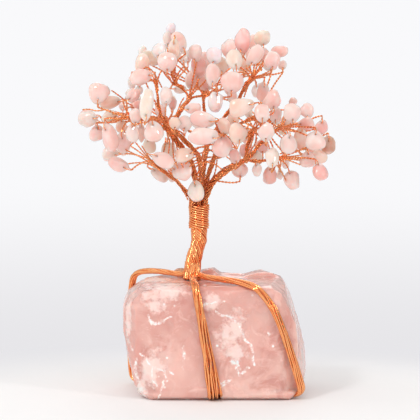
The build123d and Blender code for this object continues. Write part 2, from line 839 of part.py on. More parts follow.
def strand_route(strand, faces):
    """List a strand's points from beside the trunk to its end underneath."""
    corners, out, down, origin = strand_corners(strand, faces)
    top = min(point[1] for point in corners)
    bottom = max(point[1] for point in corners)
    start_out = trunk_radius * FOOT_SHARE + root_gap
    side = [p for p in corners if p[0] > start_out]
    side.sort(key=lambda p: math.atan2(p[1] - (top + bottom) / 2, p[0]))
    under = [p for p in side if p[1] > bottom - root_gap]
    side = [p for p in side if p not in under]
    rim = min(under, key=lambda p: -p[0])
    route = [(start_out, top)]
    for point in side + [rim, (rim[0] - root_tuck, bottom)]:
        step = np.subtract(point, route[-1])
        if np.linalg.norm(step) > root_thickness * SHORTEST_RUN_SHARE:
            route.append(point)
    return np.array([origin + out * a + down * b for a, b in route]), out


def stone_solid(strands):
    """Cut the block from its outlines, facets and the strands' channels."""
    block = outline_prism(FRONT_SHARES, Plane.XZ, half_width, stone_height, stone_depth)
    block &= outline_prism(SIDE_SHARES, Plane.YZ, half_depth, stone_height, stone_width)
    block &= outline_prism(PLAN_SHARES, Plane.XY, half_width, half_depth,
                           stone_height * 2)
    near_share, far_share = RIDGE_DEPTH_SHARES
    ridge_plane = Plane(origin=(0, half_depth * far_share, 0), x_dir=(1, 0, 0),
                        z_dir=(0, -1, 0))
    corners = [(a * half_width, b * stone_height) for a, b in RIDGE_SHARES]
    ridge = extrude(ridge_plane * make_face(Polyline(*corners, close=True)),
                    half_depth * (far_share - near_share))
    block += ridge
    for normal, reach in stone_faces()[-len(FACET_SHARES):]:
        cut = Plane(origin=Vector(*(normal * reach)), z_dir=Vector(*normal))
        block = split(block, bisect_by=cut, keep=Keep.BOTTOM)
    channel = root_thickness + root_gap
    for route, out in strands.values():
        end = route[-1] - out * root_gap
        length = root_tuck + overrun
        heading = Plane(origin=(end[0], end[1], 0), x_dir=Vector(*out), z_dir=(0, 0, 1))
        slot = Box(length, root_width + 2 * root_gap, channel * 2,
                   align=(Align.MIN, Align.CENTER, Align.CENTER))
        block -= heading * slot
    return block


def strand_solid(route, out, down):
    """Sweep a flat bundle of wires along its route."""
    path = bent_path(route)
    sideways = Vector(*np.cross(out, down))
    start = Plane(origin=path @ 0, x_dir=sideways, z_dir=path % 0)
    section = start * Ellipse(root_width / 2, root_thickness / 2)
    return sweep(section, path=path)


# Trunk


def trunk_core_solid():
    """Loft the trunk from its foot to the sleeve that the wrap goes round."""
    sleeve_height = wrap_length + 2 * wrap_thickness
    sleeve_bottom = fork_point[2] - sleeve_height
    rings = [Pos(*trunk_foot) * Circle(trunk_radius * FOOT_SHARE)]
    for x, y, girth in TRUNK_PLACES:
        share = (FOOT_PIXEL[1] - y) / (FOOT_PIXEL[1] - FORK_PIXEL[1])
        depth = trunk_foot[1] * (1 - share)
        height = trunk_foot[2] + (sleeve_bottom - trunk_foot[2]) * share * CLIMB_SHARE
        centre = place(x, y, depth)
        rings.append(Pos(centre[0], centre[1], height) * Circle(trunk_radius * girth))
    sleeve = Circle(trunk_radius)
    rings.append(Pos(fork_point[0], fork_point[1], sleeve_bottom) * sleeve)
    top = extrude(Pos(fork_point[0], fork_point[1], sleeve_bottom) * sleeve,
                  sleeve_height)
    return loft(rings) + top


def biarc(start, start_way, end, end_way):
    """Join two points and their tangents by two arcs."""
    span = end - start
    both = start_way + end_way
    a = 2 * (start_way @ end_way - 1)
    b = -2 * (span @ both)
    c = span @ span
    reach = (-b - math.sqrt(b * b - 4 * a * c)) / (2 * a)
    first = start + start_way * reach
    second = end - end_way * reach
    middle = (first + second) / 2
    return [
        TangentArc(Vector(*start), Vector(*middle), tangent=Vector(*start_way)),
        TangentArc(Vector(*middle), Vector(*end), tangent=Vector(*unit(second - first))),
    ]


def wrap_point(turn):
    """Give a point and a tangent of the wrap's helix at an angle."""
    radius = trunk_radius + wrap_gap + wrap_thickness / 2
    bottom = fork_point[2] - wrap_length - wrap_thickness
    rise = wrap_pitch / (2 * math.pi)
    point = np.array([
        fork_point[0] + radius * math.cos(turn),
        fork_point[1] + radius * math.sin(turn),
        bottom + rise * turn,
    ])
    way = np.array([-radius * math.sin(turn), radius * math.cos(turn), rise])
    return point, unit(way)


def trunk_wrap_solid():
    """Wind one wire round the trunk's sleeve."""
    quarters = int(4 * (wrap_length - wrap_thickness) / wrap_pitch)
    knots_on_turn = [wrap_point(math.pi / 2 * n) for n in range(quarters + 1)]
    first, first_way = knots_on_turn[0]
    last, last_way = knots_on_turn[-1]
    edges = [Line(Vector(*(first - first_way * wrap_thickness)), Vector(*first))]
    for (a, a_way), (b, b_way) in zip(knots_on_turn, knots_on_turn[1:]):
        edges += biarc(a, a_way, b, b_way)
    edges.append(Line(Vector(*last), Vector(*(last + last_way * wrap_thickness))))
    path = Wire([edge for piece in edges for edge in piece.edges()])
    turns = np.arange(0, quarters / 4, 1 / POINTS_PER_TURN) * 2 * math.pi
    points = np.array([wrap_point(turn)[0] for turn in turns])
    gaps = points[POINTS_PER_TURN:, None] - points[None, :-POINTS_PER_TURN]
    gaps = np.linalg.norm(gaps, axis=2)
    later = np.tril(np.ones_like(gaps), 0) > 0
    print("trunk wrap's least gap to itself", gaps[later].min() - wrap_thickness)
    start = Plane(origin=path @ 0, z_dir=path % 0)
    return sweep(start * Circle(wrap_thickness / 2), path=path)


# Build and write every sub-part

routes = limb_routes()
limb_runs = [(sampled(points, sample_step), radius) for _, _, _, points, radius in routes]
knot_zones = [(centre[None], knot_radius + stem_lead) for centre in knots.values()]
chips = settled_chips(limb_runs + knot_zones)
twigs = routed_twigs(chips, routes, limb_runs)
faces = stone_faces()
strands = {name: strand_route(name, faces) for name in ROOTS}

save(stone_solid(strands), "base_stone")
for name, (route, out) in strands.items():
    save(strand_solid(route, out, strand_plane(name)[2]), name)
save(trunk_core_solid(), "trunk_core")
save(trunk_wrap_solid(), "trunk_wrap")
for limb in LIMBS:
    save(limb_solid(routes, limb), limb)
for knot in knots:
    members = [chip for chip in chips if chip.knot == knot]
    if members:
        save(group([chip_solid(chip) for chip in members]), f"chips_{knot}")
        wires = [tube(twigs[chip.number], twig_radius) for chip in members]
        save(group(wires), f"twigs_{knot}")
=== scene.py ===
"""Dresses the gemstone tree: tumbled rose quartz chips on twisted copper wire."""

import math

import bpy
import numpy as np
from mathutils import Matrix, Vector, noise


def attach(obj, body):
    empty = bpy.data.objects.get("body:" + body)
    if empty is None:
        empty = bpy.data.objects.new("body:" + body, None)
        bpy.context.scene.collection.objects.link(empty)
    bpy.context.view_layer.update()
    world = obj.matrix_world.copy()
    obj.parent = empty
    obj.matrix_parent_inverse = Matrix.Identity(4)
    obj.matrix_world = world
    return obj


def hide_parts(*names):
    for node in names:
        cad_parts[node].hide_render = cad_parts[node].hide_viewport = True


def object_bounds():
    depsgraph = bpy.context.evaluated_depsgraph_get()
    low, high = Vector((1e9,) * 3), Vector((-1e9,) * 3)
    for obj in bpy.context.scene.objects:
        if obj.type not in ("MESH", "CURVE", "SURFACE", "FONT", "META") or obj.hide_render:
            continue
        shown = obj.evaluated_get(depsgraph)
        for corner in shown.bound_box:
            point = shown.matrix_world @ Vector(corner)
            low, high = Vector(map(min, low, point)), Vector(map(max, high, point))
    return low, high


# The layout is worked in millimetres, from the same values as the part's
# source, and turned into metres where meshes are made.
MM = 0.001

# Overall sizes
tree_height = 140.0
crown_half_width = 49.0
crown_half_depth = 36.0
crown_bottom_height = 74.0

# Stone
stone_width = 69.0
stone_depth = 45.0
stone_height = 43.0

# Wires, each twig being one wire doubled through its chip
twig_thickness = 0.42
limb_thickness = 2.8
knot_thickness = 3.9
trunk_thickness = 6.4
wrap_thickness = 0.42
wrap_pitch = 0.85
wrap_length = 7.4
root_thickness = 2.2
root_width = 3.4
root_tuck = 9.0

# Chips
chip_length = 8.4
hole_diameter = 0.9

# Clearances, and steps along a line
chip_gap = 0.75
wire_gap = 0.16
knot_gap = 0.05
wrap_gap = 0.12
root_gap = 0.3
stem_lead = 1.7
loop_drop = 1.1
push_step = 1.2
sample_step = 0.5

# The photograph: its scale, its middle and how far the camera looks down
VIEW_DROP = 8.6
MIDDLE_PIXEL_X = 215
FLOOR_PIXEL_Y = 392
TOP_PIXEL_Y = 23
FORK_PIXEL = (199, 205)
FOOT_PIXEL = (192, 272)
CHIP_PIXELS = 22.4
view_sine = math.sin(math.radians(VIEW_DROP))
view_cosine = math.cos(math.radians(VIEW_DROP))
pixel = tree_height * view_cosine / (FLOOR_PIXEL_Y - TOP_PIXEL_Y)

# Knots where twigs fan out: pixel x and y, and depth as a share of the crown's
KNOT_PLACES = {
    "left": (128, 118, -0.30),
    "left_middle": (166, 128, -0.15),
    "low_left": (148, 158, -0.32),
    "bough": (165, 121, -0.34),
    "crossing": (200, 157, -0.19),
    "upper_left": (156, 80, -0.18),
    "top_left": (172, 84, 0.06),
    "top": (190, 97, 0.08),
    "top_middle": (215, 92, 0.14),
    "top_right": (254, 77, -0.05),
    "centre": (217, 128, -0.10),
    "centre_right": (256, 127, 0.16),
    "elbow": (253, 131, -0.20),
    "right": (281, 127, -0.10),
    "low_right": (281, 157, -0.25),
    "right_middle": (247, 160, -0.16),
    "fork": (203, 180, 0.14),
    "back_left": (165, 118, 0.52),
    "back_top": (203, 88, 0.46),
    "back_right": (258, 116, 0.52),
    "back_low": (207, 142, 0.50),
}

# Limbs: where each leaves the trunk's top, as shares of its radius, and its
# routes, each with its start, its bends, its end knot and its thickness share
LIMBS = {
    "limb_left": ((-0.45, -0.10), [
        ("trunk", [(196, 186, -0.04), (193, 166, -0.08), (183, 148, -0.12)],
         "left_middle", 0.98),
        ("left_middle", [(159, 112, -0.22), (158, 96, -0.22)], "upper_left", 0.55),
        ("left_middle", [(149, 120, -0.24)], "left", 0.65),
        ("left_middle", [(179, 115, -0.04)], "top", 0.65),
        ("top", [(182, 87, 0.08)], "top_left", 0.50),
        ("top", [(203, 97, 0.12)], "top_middle", 0.50),
    ]),
    "limb_centre": ((0.40, 0.56), [
        ("trunk", [(205, 184, 0.0), (213, 162, -0.02), (218, 145, -0.06)],
         "centre", 0.8),
        ("centre", [(228, 112, 0.04), (240, 98, 0.05), (244, 86, 0.0)],
         "top_right", 0.6),
        ("centre", [(229, 142, -0.12), (243, 138, -0.17)], "elbow", 0.85),
    ]),
    "limb_right": ((0.62, -0.28), [
        ("trunk", [(208, 191, -0.05), (212, 181, -0.10), (224, 172, -0.14),
                   (237, 163, -0.16)], "right_middle", 1.05),
        ("right_middle", [(264, 162, -0.22)], "low_right", 0.55),
        ("right_middle", [(258, 147, -0.09), (270, 134, -0.06)], "right", 0.65),
        ("right_middle", [(247, 143, 0.05)], "centre_right", 0.65),
    ]),
    "limb_middle": ((0.0, -0.78), [
        ("trunk", [(200, 176, -0.15)], "crossing", 0.62),
        ("crossing", [(190, 147, -0.25), (178, 134, -0.29)], "bough", 0.80),
    ]),
    "limb_low_left": ((-0.95, -0.66), [
        ("trunk", [(185, 192, -0.13), (179, 183, -0.18), (163, 171, -0.28)],
         "low_left", 0.62),
    ]),
    "limb_back": ((-0.30, 0.68), [
        ("trunk", [(198, 192, 0.14)], "fork", 0.75),
        ("fork", [(205, 160, 0.36)], "back_low", 0.75),
        ("back_low", [(186, 128, 0.56)], "back_left", 0.55),
        ("back_low", [(204, 115, 0.56)], "back_top", 0.55),
        ("back_low", [(232, 126, 0.57)], "back_right", 0.55),
    ]),
}

# Chips of each knot: pixel x and y of the middle, length and width in pixels,
# lean of the long axis in degrees, and the place between the crown's front
# face at -1 and its back face at +1.  A lean past 90 keeps the hole on top.
CHIP_PLACES = {
    "left": [
        (98, 93, 23, 21, 0, -0.60), (111, 103, 22, 13, 80, -0.20),
        (88, 119, 21, 17, 75, -0.20), (110, 117, 17, 14, 80, -0.45),
        (97, 133, 17, 16, 0, -0.10), (110, 138, 29, 17, -15, -0.70),
        (123, 143, 25, 16, 0, -0.25), (134, 133, 20, 14, 0, -0.60),
        (133, 96, 18, 13, 60, -0.35), (137, 107, 14, 13, 0, 0.10),
        (136, 117, 17, 12, 0, -0.75), (123, 106, 10, 8, 0, 0.15),
        (121, 126, 14, 11, 0, 0.10),
    ],
    "left_middle": [
        (141, 133, 20, 8, 0, 0.00), (172, 103, 16, 8, 0, 0.20),
        (185, 124, 16, 14, 0, -0.35), (160, 110, 14, 12, 0, 0.20),
        (149, 145, 17, 14, 0, 0.35), (168, 149, 17, 15, 0, 0.45),
    ],
    "bough": [
        (148, 106, 34, 14, 8, -0.85), (153, 132, 21, 19, 0, -0.80),
        (166, 98, 21, 12, 0, -0.50), (175, 124, 13, 12, 0, -0.60),
    ],
    "low_left": [
        (119, 165, 23, 14, -70, -0.40), (110, 154, 17, 13, 90, 0.05),
        (159, 174, 24, 14, -55, 0.10), (163, 161, 24, 16, -65, -0.80),
        (182, 170, 22, 18, 90, -0.50), (172, 175, 14, 8, 0, 0.00),
    ],
    "crossing": [
        (184, 156, 21, 15, 80, -0.60),
    ],
    "fork": [
        (196, 191, 22, 17, 0, -0.50), (240, 170, 17, 16, 0, 0.20),
    ],
    "upper_left": [
        (143, 52, 12, 9, 0, -0.10), (152, 59, 24, 12, -55, -0.20),
        (142, 65, 22, 14, 10, -0.60), (142, 79, 24, 17, 70, -0.75),
        (132, 82, 15, 8, 0, 0.10), (139, 90, 10, 9, 0, 0.15),
    ],
    "top_left": [
        (160, 52, 17, 16, 0, -0.50), (171, 30, 14, 10, 0, 0.00),
        (168, 40, 17, 10, 0, -0.15), (179, 43, 22, 13, -30, -0.30),
        (175, 50, 22, 12, 180, -0.80), (167, 64, 21, 20, 0, -0.60),
        (184, 57, 15, 9, 0, -0.15), (188, 57, 14, 8, 0, 0.25),
        (180, 89, 14, 8, 90, 0.50),
    ],
    "top": [
        (196, 54, 18, 14, 0, -0.10), (198, 68, 24, 16, 0, 0.10),
        (214, 57, 18, 16, 0, -0.30), (206, 83, 18, 16, 0, 0.20),
        (193, 109, 17, 12, 90, -0.55), (204, 60, 18, 14, 0, 0.30),
        (192, 79, 20, 13, 10, 0.35),
    ],
    "top_middle": [
        (222, 66, 18, 14, 0, -0.30), (212, 76, 24, 15, 0, -0.40),
        (231, 84, 23, 22, 0, -0.75), (232, 97, 16, 10, 0, -0.10),
        (216, 102, 20, 16, 0, -0.50),
    ],
    "top_right": [
        (229, 49, 20, 16, 0, -0.10), (243, 42, 26, 17, 0, -0.60),
        (235, 61, 21, 18, 0, -0.80), (254, 56, 26, 16, 30, -0.55),
        (262, 39, 18, 16, 0, -0.10), (271, 62, 19, 17, 0, -0.60),
        (279, 52, 19, 12, 75, -0.20), (283, 65, 9, 8, 0, 0.10),
        (256, 91, 13, 9, 0, 0.20), (262, 92, 20, 12, 10, -0.20),
        (263, 55, 18, 12, 0, 0.15), (244, 66, 16, 14, 0, 0.30),
        (253, 43, 18, 12, 0, 0.10),
    ],
    "centre_right": [
        (249, 113, 9, 8, 0, 0.25), (272, 101, 22, 20, 0, -0.50),
        (276, 116, 17, 12, 15, -0.35), (248, 136, 16, 14, 0, 0.45),
        (233, 119, 15, 12, 0, 0.30),
    ],
    "elbow": [
        (241, 108, 27, 18, 75, -0.70), (262, 114, 20, 16, 0, -0.80),
        (266, 133, 20, 17, 0, -0.98),
    ],
    "centre": [
        (203, 120, 28, 16, 90, -0.70), (203, 136, 31, 19, 90, -0.92),
        (224, 127, 18, 14, 0, -0.60), (237, 134, 22, 20, 0, -0.70),
        (223, 146, 24, 22, 180, -0.85),
    ],
    "right": [
        (291, 114, 20, 19, 0, -0.55), (293, 102, 10, 8, 0, 0.10),
        (307, 111, 16, 15, 0, -0.10), (306, 125, 18, 13, 90, -0.30),
        (322, 127, 15, 13, 0, 0.00), (315, 141, 20, 19, 0, -0.70),
        (328, 145, 20, 16, 0, 0.10), (288, 144, 21, 18, 0, -0.85),
        (300, 138, 26, 15, 0, 0.10), (283, 131, 8, 8, 0, 0.30),
        (286, 122, 14, 12, 0, 0.35), (313, 152, 16, 12, 70, 0.30),
    ],
    "low_right": [
        (271, 158, 22, 14, 0, -0.85), (270, 175, 19, 14, 0, -0.10),
        (292, 180, 20, 17, -20, -0.40), (280, 175, 10, 7, 0, 0.10),
        (307, 160, 17, 15, 0, -0.55), (318, 158, 19, 15, 80, -0.10),
        (320, 171, 20, 15, -25, -0.40), (286, 163, 12, 7, 0, 0.20),
    ],
    "right_middle": [
        (257, 170, 14, 11, 0, -0.30), (235, 157, 16, 12, 0, -0.50),
        (246, 150, 18, 13, 0, 0.05), (256, 156, 15, 12, 0, 0.20),
        (263, 146, 16, 14, 0, 0.40),
    ],
}

# The back of the crown, which the photograph hides: a chip straight behind
# every other front chip, on the nearest back knot
BACK_KNOTS = ("back_left", "back_top", "back_right", "back_low")
BACK_DEPTH_SHARES = (0.95, 0.55, 0.80)
BACK_EVERY = 2

# Chip shape: angles from the hole end to the free end that place its rings
RING_ANGLES = (13, 33, 60, 90, 120, 147, 167)
HOLE_ANGLE = 53
TAPER_SHARES = (0.08, 0.42)
FLATNESS_SHARES = (0.50, 0.74)
BEND_SHARES = (-0.09, 0.09)
TILT_ANGLES = (-24, 24)
YAW_ANGLES = (-30, 30)
GOLDEN_SHARE = 0.6180339887
BOW_SHARES = (0.06, 0.14, 0.24, 0.36, 0.50, 0.75, 1.0)

# Chips: where the scatter starts, the greatest depth as a share of the length,
# the loop's shoulder between end and hole, and points tested on the skin
START_SHARE = 0.31
THICKEST_SHARE = 0.8
SHOULDER_SHARE = 0.12
SKIN_COUNT = 60
# The crown's depth at its rim, squared, as a share of its depth in the middle
RIM_SHARE = 0.2
# Depths tried for a chip, each way from the wanted one
PUSH_COUNT = 24
# Twigs: rounds that spread their starts on a knot, and how a stem may bow, its
# bend's place along it, the turns about it and each chip's own first turn
SPREAD_ROUNDS = 80
NUDGE_SHARE = 1e-6
BOW_AXIS = (0.31, 0.47, 0.83)
BEND_PLACE_SHARES = (0.5, 0.32, 0.68)
BOW_TURNS = 8
CHIP_TURN = 40
# Root strands: a face seen edge on is skipped, and so is a run this short
EDGE_ON_SHARE = 0.02
SHORTEST_RUN_SHARE = 1.6

# Trunk: its girth at the foot, how much higher its places stand than their
# pixels say, and places on its centre line, each with its girth, all as shares
FOOT_SHARE = 1.12
CLIMB_SHARE = 1.1
TRUNK_PLACES = (
    (192.5, 264, 0.98), (194, 250, 0.90), (197, 236, 0.84), (199, 227, 0.92),
)

# Root strands: heading from the trunk and lean of the strand's plane
ROOTS = {
    "root_strand_front": (-86, 10),
    "root_strand_right": (-39, 18),
    "root_strand_left": (140, 0),
    "root_strand_back": (108, 0),
}

# Stone: outlines as shares of its half width, half depth and height
FRONT_SHARES = (
    (-0.72, 0.0), (-0.80, 0.03), (-0.92, 0.13), (-0.97, 0.33), (-1.0, 0.56),
    (-1.0, 0.79), (-0.95, 0.88), (-0.80, 0.98), (-0.66, 1.0), (0.70, 1.0),
    (0.77, 0.95), (0.93, 0.55), (0.99, 0.36), (1.0, 0.20), (0.97, 0.08),
    (0.80, 0.0),
)
SIDE_SHARES = (
    (-0.80, 0.0), (-0.95, 0.035), (-1.0, 0.14), (-0.985, 0.50), (-0.93, 0.92),
    (-0.86, 1.0), (0.62, 1.0), (0.86, 0.90), (1.0, 0.66), (0.98, 0.22),
    (0.90, 0.04), (0.76, 0.0),
)
PLAN_SHARES = (
    (-1.0, -0.50), (-0.86, -0.86), (-0.62, -1.0), (0.66, -0.98), (0.90, -0.80),
    (1.0, -0.30), (0.98, 0.45), (0.78, 0.92), (-0.55, 1.0), (-0.93, 0.72),
    (-1.0, 0.30),
)
# Broken facets: a direction, and a share of the stone's reach that way
FACET_SHARES = (
    (-0.62, -0.66, -0.42, 0.80), (-0.70, -0.55, 0.46, 0.86),
    (0.74, -0.52, 0.42, 0.84), (0.60, -0.62, -0.50, 0.86),
    (-0.30, -0.80, 0.52, 0.93), (0.66, 0.62, 0.42, 0.86),
    (-0.62, 0.60, 0.50, 0.86), (0.10, 0.86, -0.50, 0.90),
)


def place(pixel_x, pixel_y, depth):
    """Turn a pixel of the photograph and a depth into a point."""
    height = (FLOOR_PIXEL_Y - pixel_y) * pixel
    return np.array([
        (pixel_x - MIDDLE_PIXEL_X) * pixel,
        depth,
        (height - depth * view_sine) / view_cosine,
    ])


def shell_depth(pixel_x, pixel_y, depth_share):
    """Give the depth of a share between the crown's front and back faces."""
    crown_middle = (tree_height + crown_bottom_height) / 2
    crown_half_height = (tree_height - crown_bottom_height) / 2
    point = place(pixel_x, pixel_y, 0)
    across = point[0] / crown_half_width
    up = (point[2] - crown_middle) / crown_half_height
    inside = max(RIM_SHARE, 1 - across**2 - up**2)
    return depth_share * crown_half_depth * math.sqrt(inside)


def between(shares, number, step):
    """Pick an evenly scattered value between two limits."""
    low, high = shares
    return low + (high - low) * ((number * GOLDEN_SHARE + START_SHARE) * step % 1)


def unit(vector):
    return vector / np.linalg.norm(vector)


def sampled(points, step):
    """List points along straight runs, a step apart."""
    rows = [points[:1]]
    for start, end in zip(points[:-1], points[1:]):
        count = max(1, int(np.linalg.norm(end - start) / step))
        shares = np.arange(1, count + 1)[:, None] / count
        rows.append(start + (end - start) * shares)
    return np.concatenate(rows)


# Layout of the limbs

knot_radius = knot_thickness / 2
twig_radius = twig_thickness / 2
trunk_radius = trunk_thickness / 2
fork_point = place(*FORK_PIXEL, 0)
trunk_foot = np.array([place(*FOOT_PIXEL, 0)[0], -trunk_radius / 2, stone_height])
knots = {
    name: place(x, y, share * crown_half_depth)
    for name, (x, y, share) in KNOT_PLACES.items()
}


def limb_routes():
    """List each route as its limb, its two ends, its points and its radius."""
    routes = []
    for limb, (slot, branches) in LIMBS.items():
        for start, bends, end, thickness_share in branches:
            points = [place(x, y, s * crown_half_depth) for x, y, s in bends]
            if start == "trunk":
                foot = fork_point + np.array([slot[0], slot[1], 0]) * trunk_radius
                lift = np.array([0, 0, limb_thickness])
                points = [foot, foot + lift] + points
            else:
                points = [knots[start]] + points
            points.append(knots[end])
            radius = limb_thickness / 2 * thickness_share
            routes.append((limb, start, end, np.array(points), radius))
    return routes


# Layout of the chips

class Chip:
    """One drilled chip: its middle, its axes, its sizes and its wire loop."""

    def __init__(self, number, knot, row, depth):
        x, y, long_pixels, wide_pixels, lean, _ = row
        self.number = number
        self.knot = knot
        self.middle = place(x, y, depth)
        self.length = chip_length * long_pixels / CHIP_PIXELS
        self.width = chip_length * wide_pixels / CHIP_PIXELS
        self.taper = between(TAPER_SHARES, number, 1)
        self.fullness = max(self.tapered(math.radians(angle)) for angle in RING_ANGLES)
        flatness = between(FLATNESS_SHARES, number, 2)
        self.depth = min(self.width, self.length * THICKEST_SHARE) * flatness
        self.bend = between(BEND_SHARES, number, 3) * self.width
        angle = math.radians(lean)
        along = np.array([math.sin(angle), 0, math.cos(angle)])
        if abs(lean) <= 90 and along @ (self.middle - knots[knot]) < 0:
            along = -along
        across = np.array([along[2], 0, -along[0]])
        facing = np.array([0.0, -1.0, 0.0])
        tilt = math.radians(between(TILT_ANGLES, number, 4))
        along, facing = (
            along * math.cos(tilt) + facing * math.sin(tilt),
            facing * math.cos(tilt) - along * math.sin(tilt),
        )
        yaw = math.radians(between(YAW_ANGLES, number, 5))
        across, facing = (
            across * math.cos(yaw) + facing * math.sin(yaw),
            facing * math.cos(yaw) - across * math.sin(yaw),
        )
        self.axes = np.array([across, facing, along])
        self.half = np.array([
            self.width / 2 + abs(self.bend),
            self.depth / 2,
            self.length / 2,
        ])
        self.loop = self.loop_points()
        self.skin = self.middle + (SKIN_SHARES * self.half) @ self.axes

    def tapered(self, turn):
        """Give the girth of a ring before it is scaled to the chip's width."""
        return math.sin(turn) * (1 - self.taper * (1 + math.cos(turn)) / 2)

    def ring(self, angle):
        """Give a ring's place along the chip, its girth share and its shift."""
        turn = math.radians(angle)
        place_share = math.cos(turn) / math.cos(math.radians(RING_ANGLES[0]))
        girth = self.tapered(turn) / self.fullness
        return -self.length / 2 * place_share, girth, self.bend * math.sin(turn)**2

    def hole(self):
        """Give the middle of the drilled hole."""
        height, _, shift = self.ring(HOLE_ANGLE)
        return self.middle + self.axes[2] * height + self.axes[0] * shift

    def loop_points(self):
        """Route the wire from its stem, through the hole and back beside it."""
        across, facing, along = self.axes
        if (knots[self.knot] - self.middle) @ facing < 0:
            facing = -facing
        girth = self.ring(HOLE_ANGLE)[1]
        reach = facing * (self.depth * girth / 2 + twig_radius + wire_gap)
        end = self.middle - along * self.length / 2
        hole = self.hole()
        shoulder = end + (hole - end) * SHOULDER_SHARE
        close = end - along * loop_drop
        beside = facing * (twig_thickness + wire_gap)
        return np.array([
            close, shoulder + reach, hole + reach,
            hole - reach, shoulder - reach, close - beside,
        ])


def sphere_shares(count):
    """Scatter points evenly over a unit sphere."""
    heights = 1 - 2 * (np.arange(count) + 0.5) / count
    turns = 2 * math.pi * GOLDEN_SHARE * np.arange(count)
    girths = np.sqrt(1 - heights**2)
    return np.column_stack([girths * np.cos(turns), girths * np.sin(turns), heights])


SKIN_SHARES = sphere_shares(SKIN_COUNT)


def touches(points, chip, margin):
    """Say whether any point lies in a chip grown by a margin."""
    local = (points - chip.middle) @ chip.axes.T / (chip.half + margin)
    return bool(((local**2).sum(axis=1) < 1).any())


def near(points, others, distance):
    """Say whether any point lies closer to the others than a distance."""
    if not len(others):
        return False
    low = points.min(axis=0) - distance
    high = points.max(axis=0) + distance
    others = others[((others > low) & (others < high)).all(axis=1)]
    if not len(others):
        return False
    gaps = points[:, None] - others[None]
    return bool(((gaps**2).sum(axis=2) < distance**2).any())


def chip_is_clear(chip, chips, limb_runs):
    """Test a chip and its loop against the limbs and the chips in place."""
    loop = sampled(chip.loop, sample_step)
    margin = twig_radius + wire_gap
    for points, radius in limb_runs:
        if touches(points, chip, radius + wire_gap):
            return False
        if near(loop, points, radius + twig_radius + wire_gap):
            return False
    for other in chips:
        reach = chip.half.max() + other.half.max() + loop_drop + chip_gap
        if np.linalg.norm(chip.middle - other.middle) > reach:
            continue
        if touches(chip.skin, other, chip_gap) or touches(other.skin, chip, chip_gap):
            return False
        if touches(loop, other, margin):
            return False
        other_loop = sampled(other.loop, sample_step)
        if touches(other_loop, chip, margin):
            return False
        if near(loop, other_loop, twig_thickness + wire_gap):
            return False
    return True


def depth_tries(depth):
    """List depths about a wanted one, nearest first."""
    yield depth
    for count in range(1, PUSH_COUNT):
        yield depth + push_step * count
        yield depth - push_step * count


def settle_chip(number, knot, row, chips, limb_runs):
    """Slide a chip along the line of sight until it is clear."""
    wanted = shell_depth(row[0], row[1], row[5])
    for depth in depth_tries(wanted):
        chip = Chip(number, knot, row, depth)
        if chip_is_clear(chip, chips, limb_runs):
            return chip
    return Chip(number, knot, row, wanted)


def settled_chips(limb_runs):
    """Settle the chips of the photograph, then those behind them."""
    chips = []
    for knot, rows in CHIP_PLACES.items():
        for row in rows:
            chips.append(settle_chip(len(chips), knot, row, chips, limb_runs))
    front = [row for rows in CHIP_PLACES.values() for row in rows]
    for count, row in enumerate(front[::BACK_EVERY]):
        share = BACK_DEPTH_SHARES[count % len(BACK_DEPTH_SHARES)]
        row = row[:4] + (-row[4] if abs(row[4]) <= 90 else 0, share)
        spot = place(row[0], row[1], shell_depth(row[0], row[1], share))
        knot = min(BACK_KNOTS, key=lambda name: np.linalg.norm(knots[name] - spot))
        chips.append(settle_chip(len(chips), knot, row, chips, limb_runs))
    return chips


# Layout of the twigs

def spread_starts(wanted, fixed):
    """Turn the starts on a knot apart from each other and from its limbs."""
    starts = [unit(direction) for direction in wanted]
    least = 2 * math.asin((twig_thickness + wire_gap) / 2 / knot_radius)
    limbs = [(way, angle, 1) for way, angle in fixed]
    for _ in range(SPREAD_ROUNDS):
        for index, start in enumerate(starts):
            twigs = [(way, least, 0.5) for way in starts[:index] + starts[index + 1:]]
            push = np.zeros(3)
            for other, angle, share in limbs + twigs:
                short = angle - math.acos(max(-1, min(1, start @ other)))
                if short > 0:
                    away = unit(start - other * (start @ other) + NUDGE_SHARE)
                    push += away * short * share
            starts[index] = unit(start + push)
    return starts


def stem_tries(start, lead, chip):
    """List stems from a knot to a chip's loop, the straightest first."""
    close = chip.loop[0]
    below = close - chip.axes[2] * loop_drop
    turn = (close - lead) @ chip.axes[2]
    tails = ([below, close], [close]) if turn < 0 else ([close], [below, close])
    for bow in BOW_SHARES:
        for tail in tails:
            span = tail[0] - lead
            length = np.linalg.norm(span)
            side = unit(np.cross(span, BOW_AXIS))
            other = unit(np.cross(span, side))
            for place_share in BEND_PLACE_SHARES:
                for step in range(BOW_TURNS):
                    degrees = 360 / BOW_TURNS * step + CHIP_TURN * chip.number
                    turn = math.radians(degrees)
                    offset = side * math.cos(turn) + other * math.sin(turn)
                    bend = lead + span * place_share + offset * bow * length
                    yield np.array([start, lead, bend] + tail)


def stem_is_clear(stem, chip, chips, limb_runs, wire_points):
    """Test a stem against every chip, limb and wire but its own knot."""
    points = sampled(stem, sample_step)
    margin = twig_radius + wire_gap
    low = points.min(axis=0)
    high = points.max(axis=0)
    for other in chips:
        reach = other.half.max() + margin
        if (other.middle + reach < low).any() or (other.middle - reach > high).any():
            continue
        if touches(points, other, margin):
            return False
    away = np.linalg.norm(points - knots[chip.knot], axis=1) > knot_radius + stem_lead
    outer = points[away]
    if not len(outer):
        return True
    for run, radius in limb_runs:
        if near(outer, run, radius + twig_radius + wire_gap):
            return False
    return not near(outer, wire_points, twig_thickness + wire_gap)


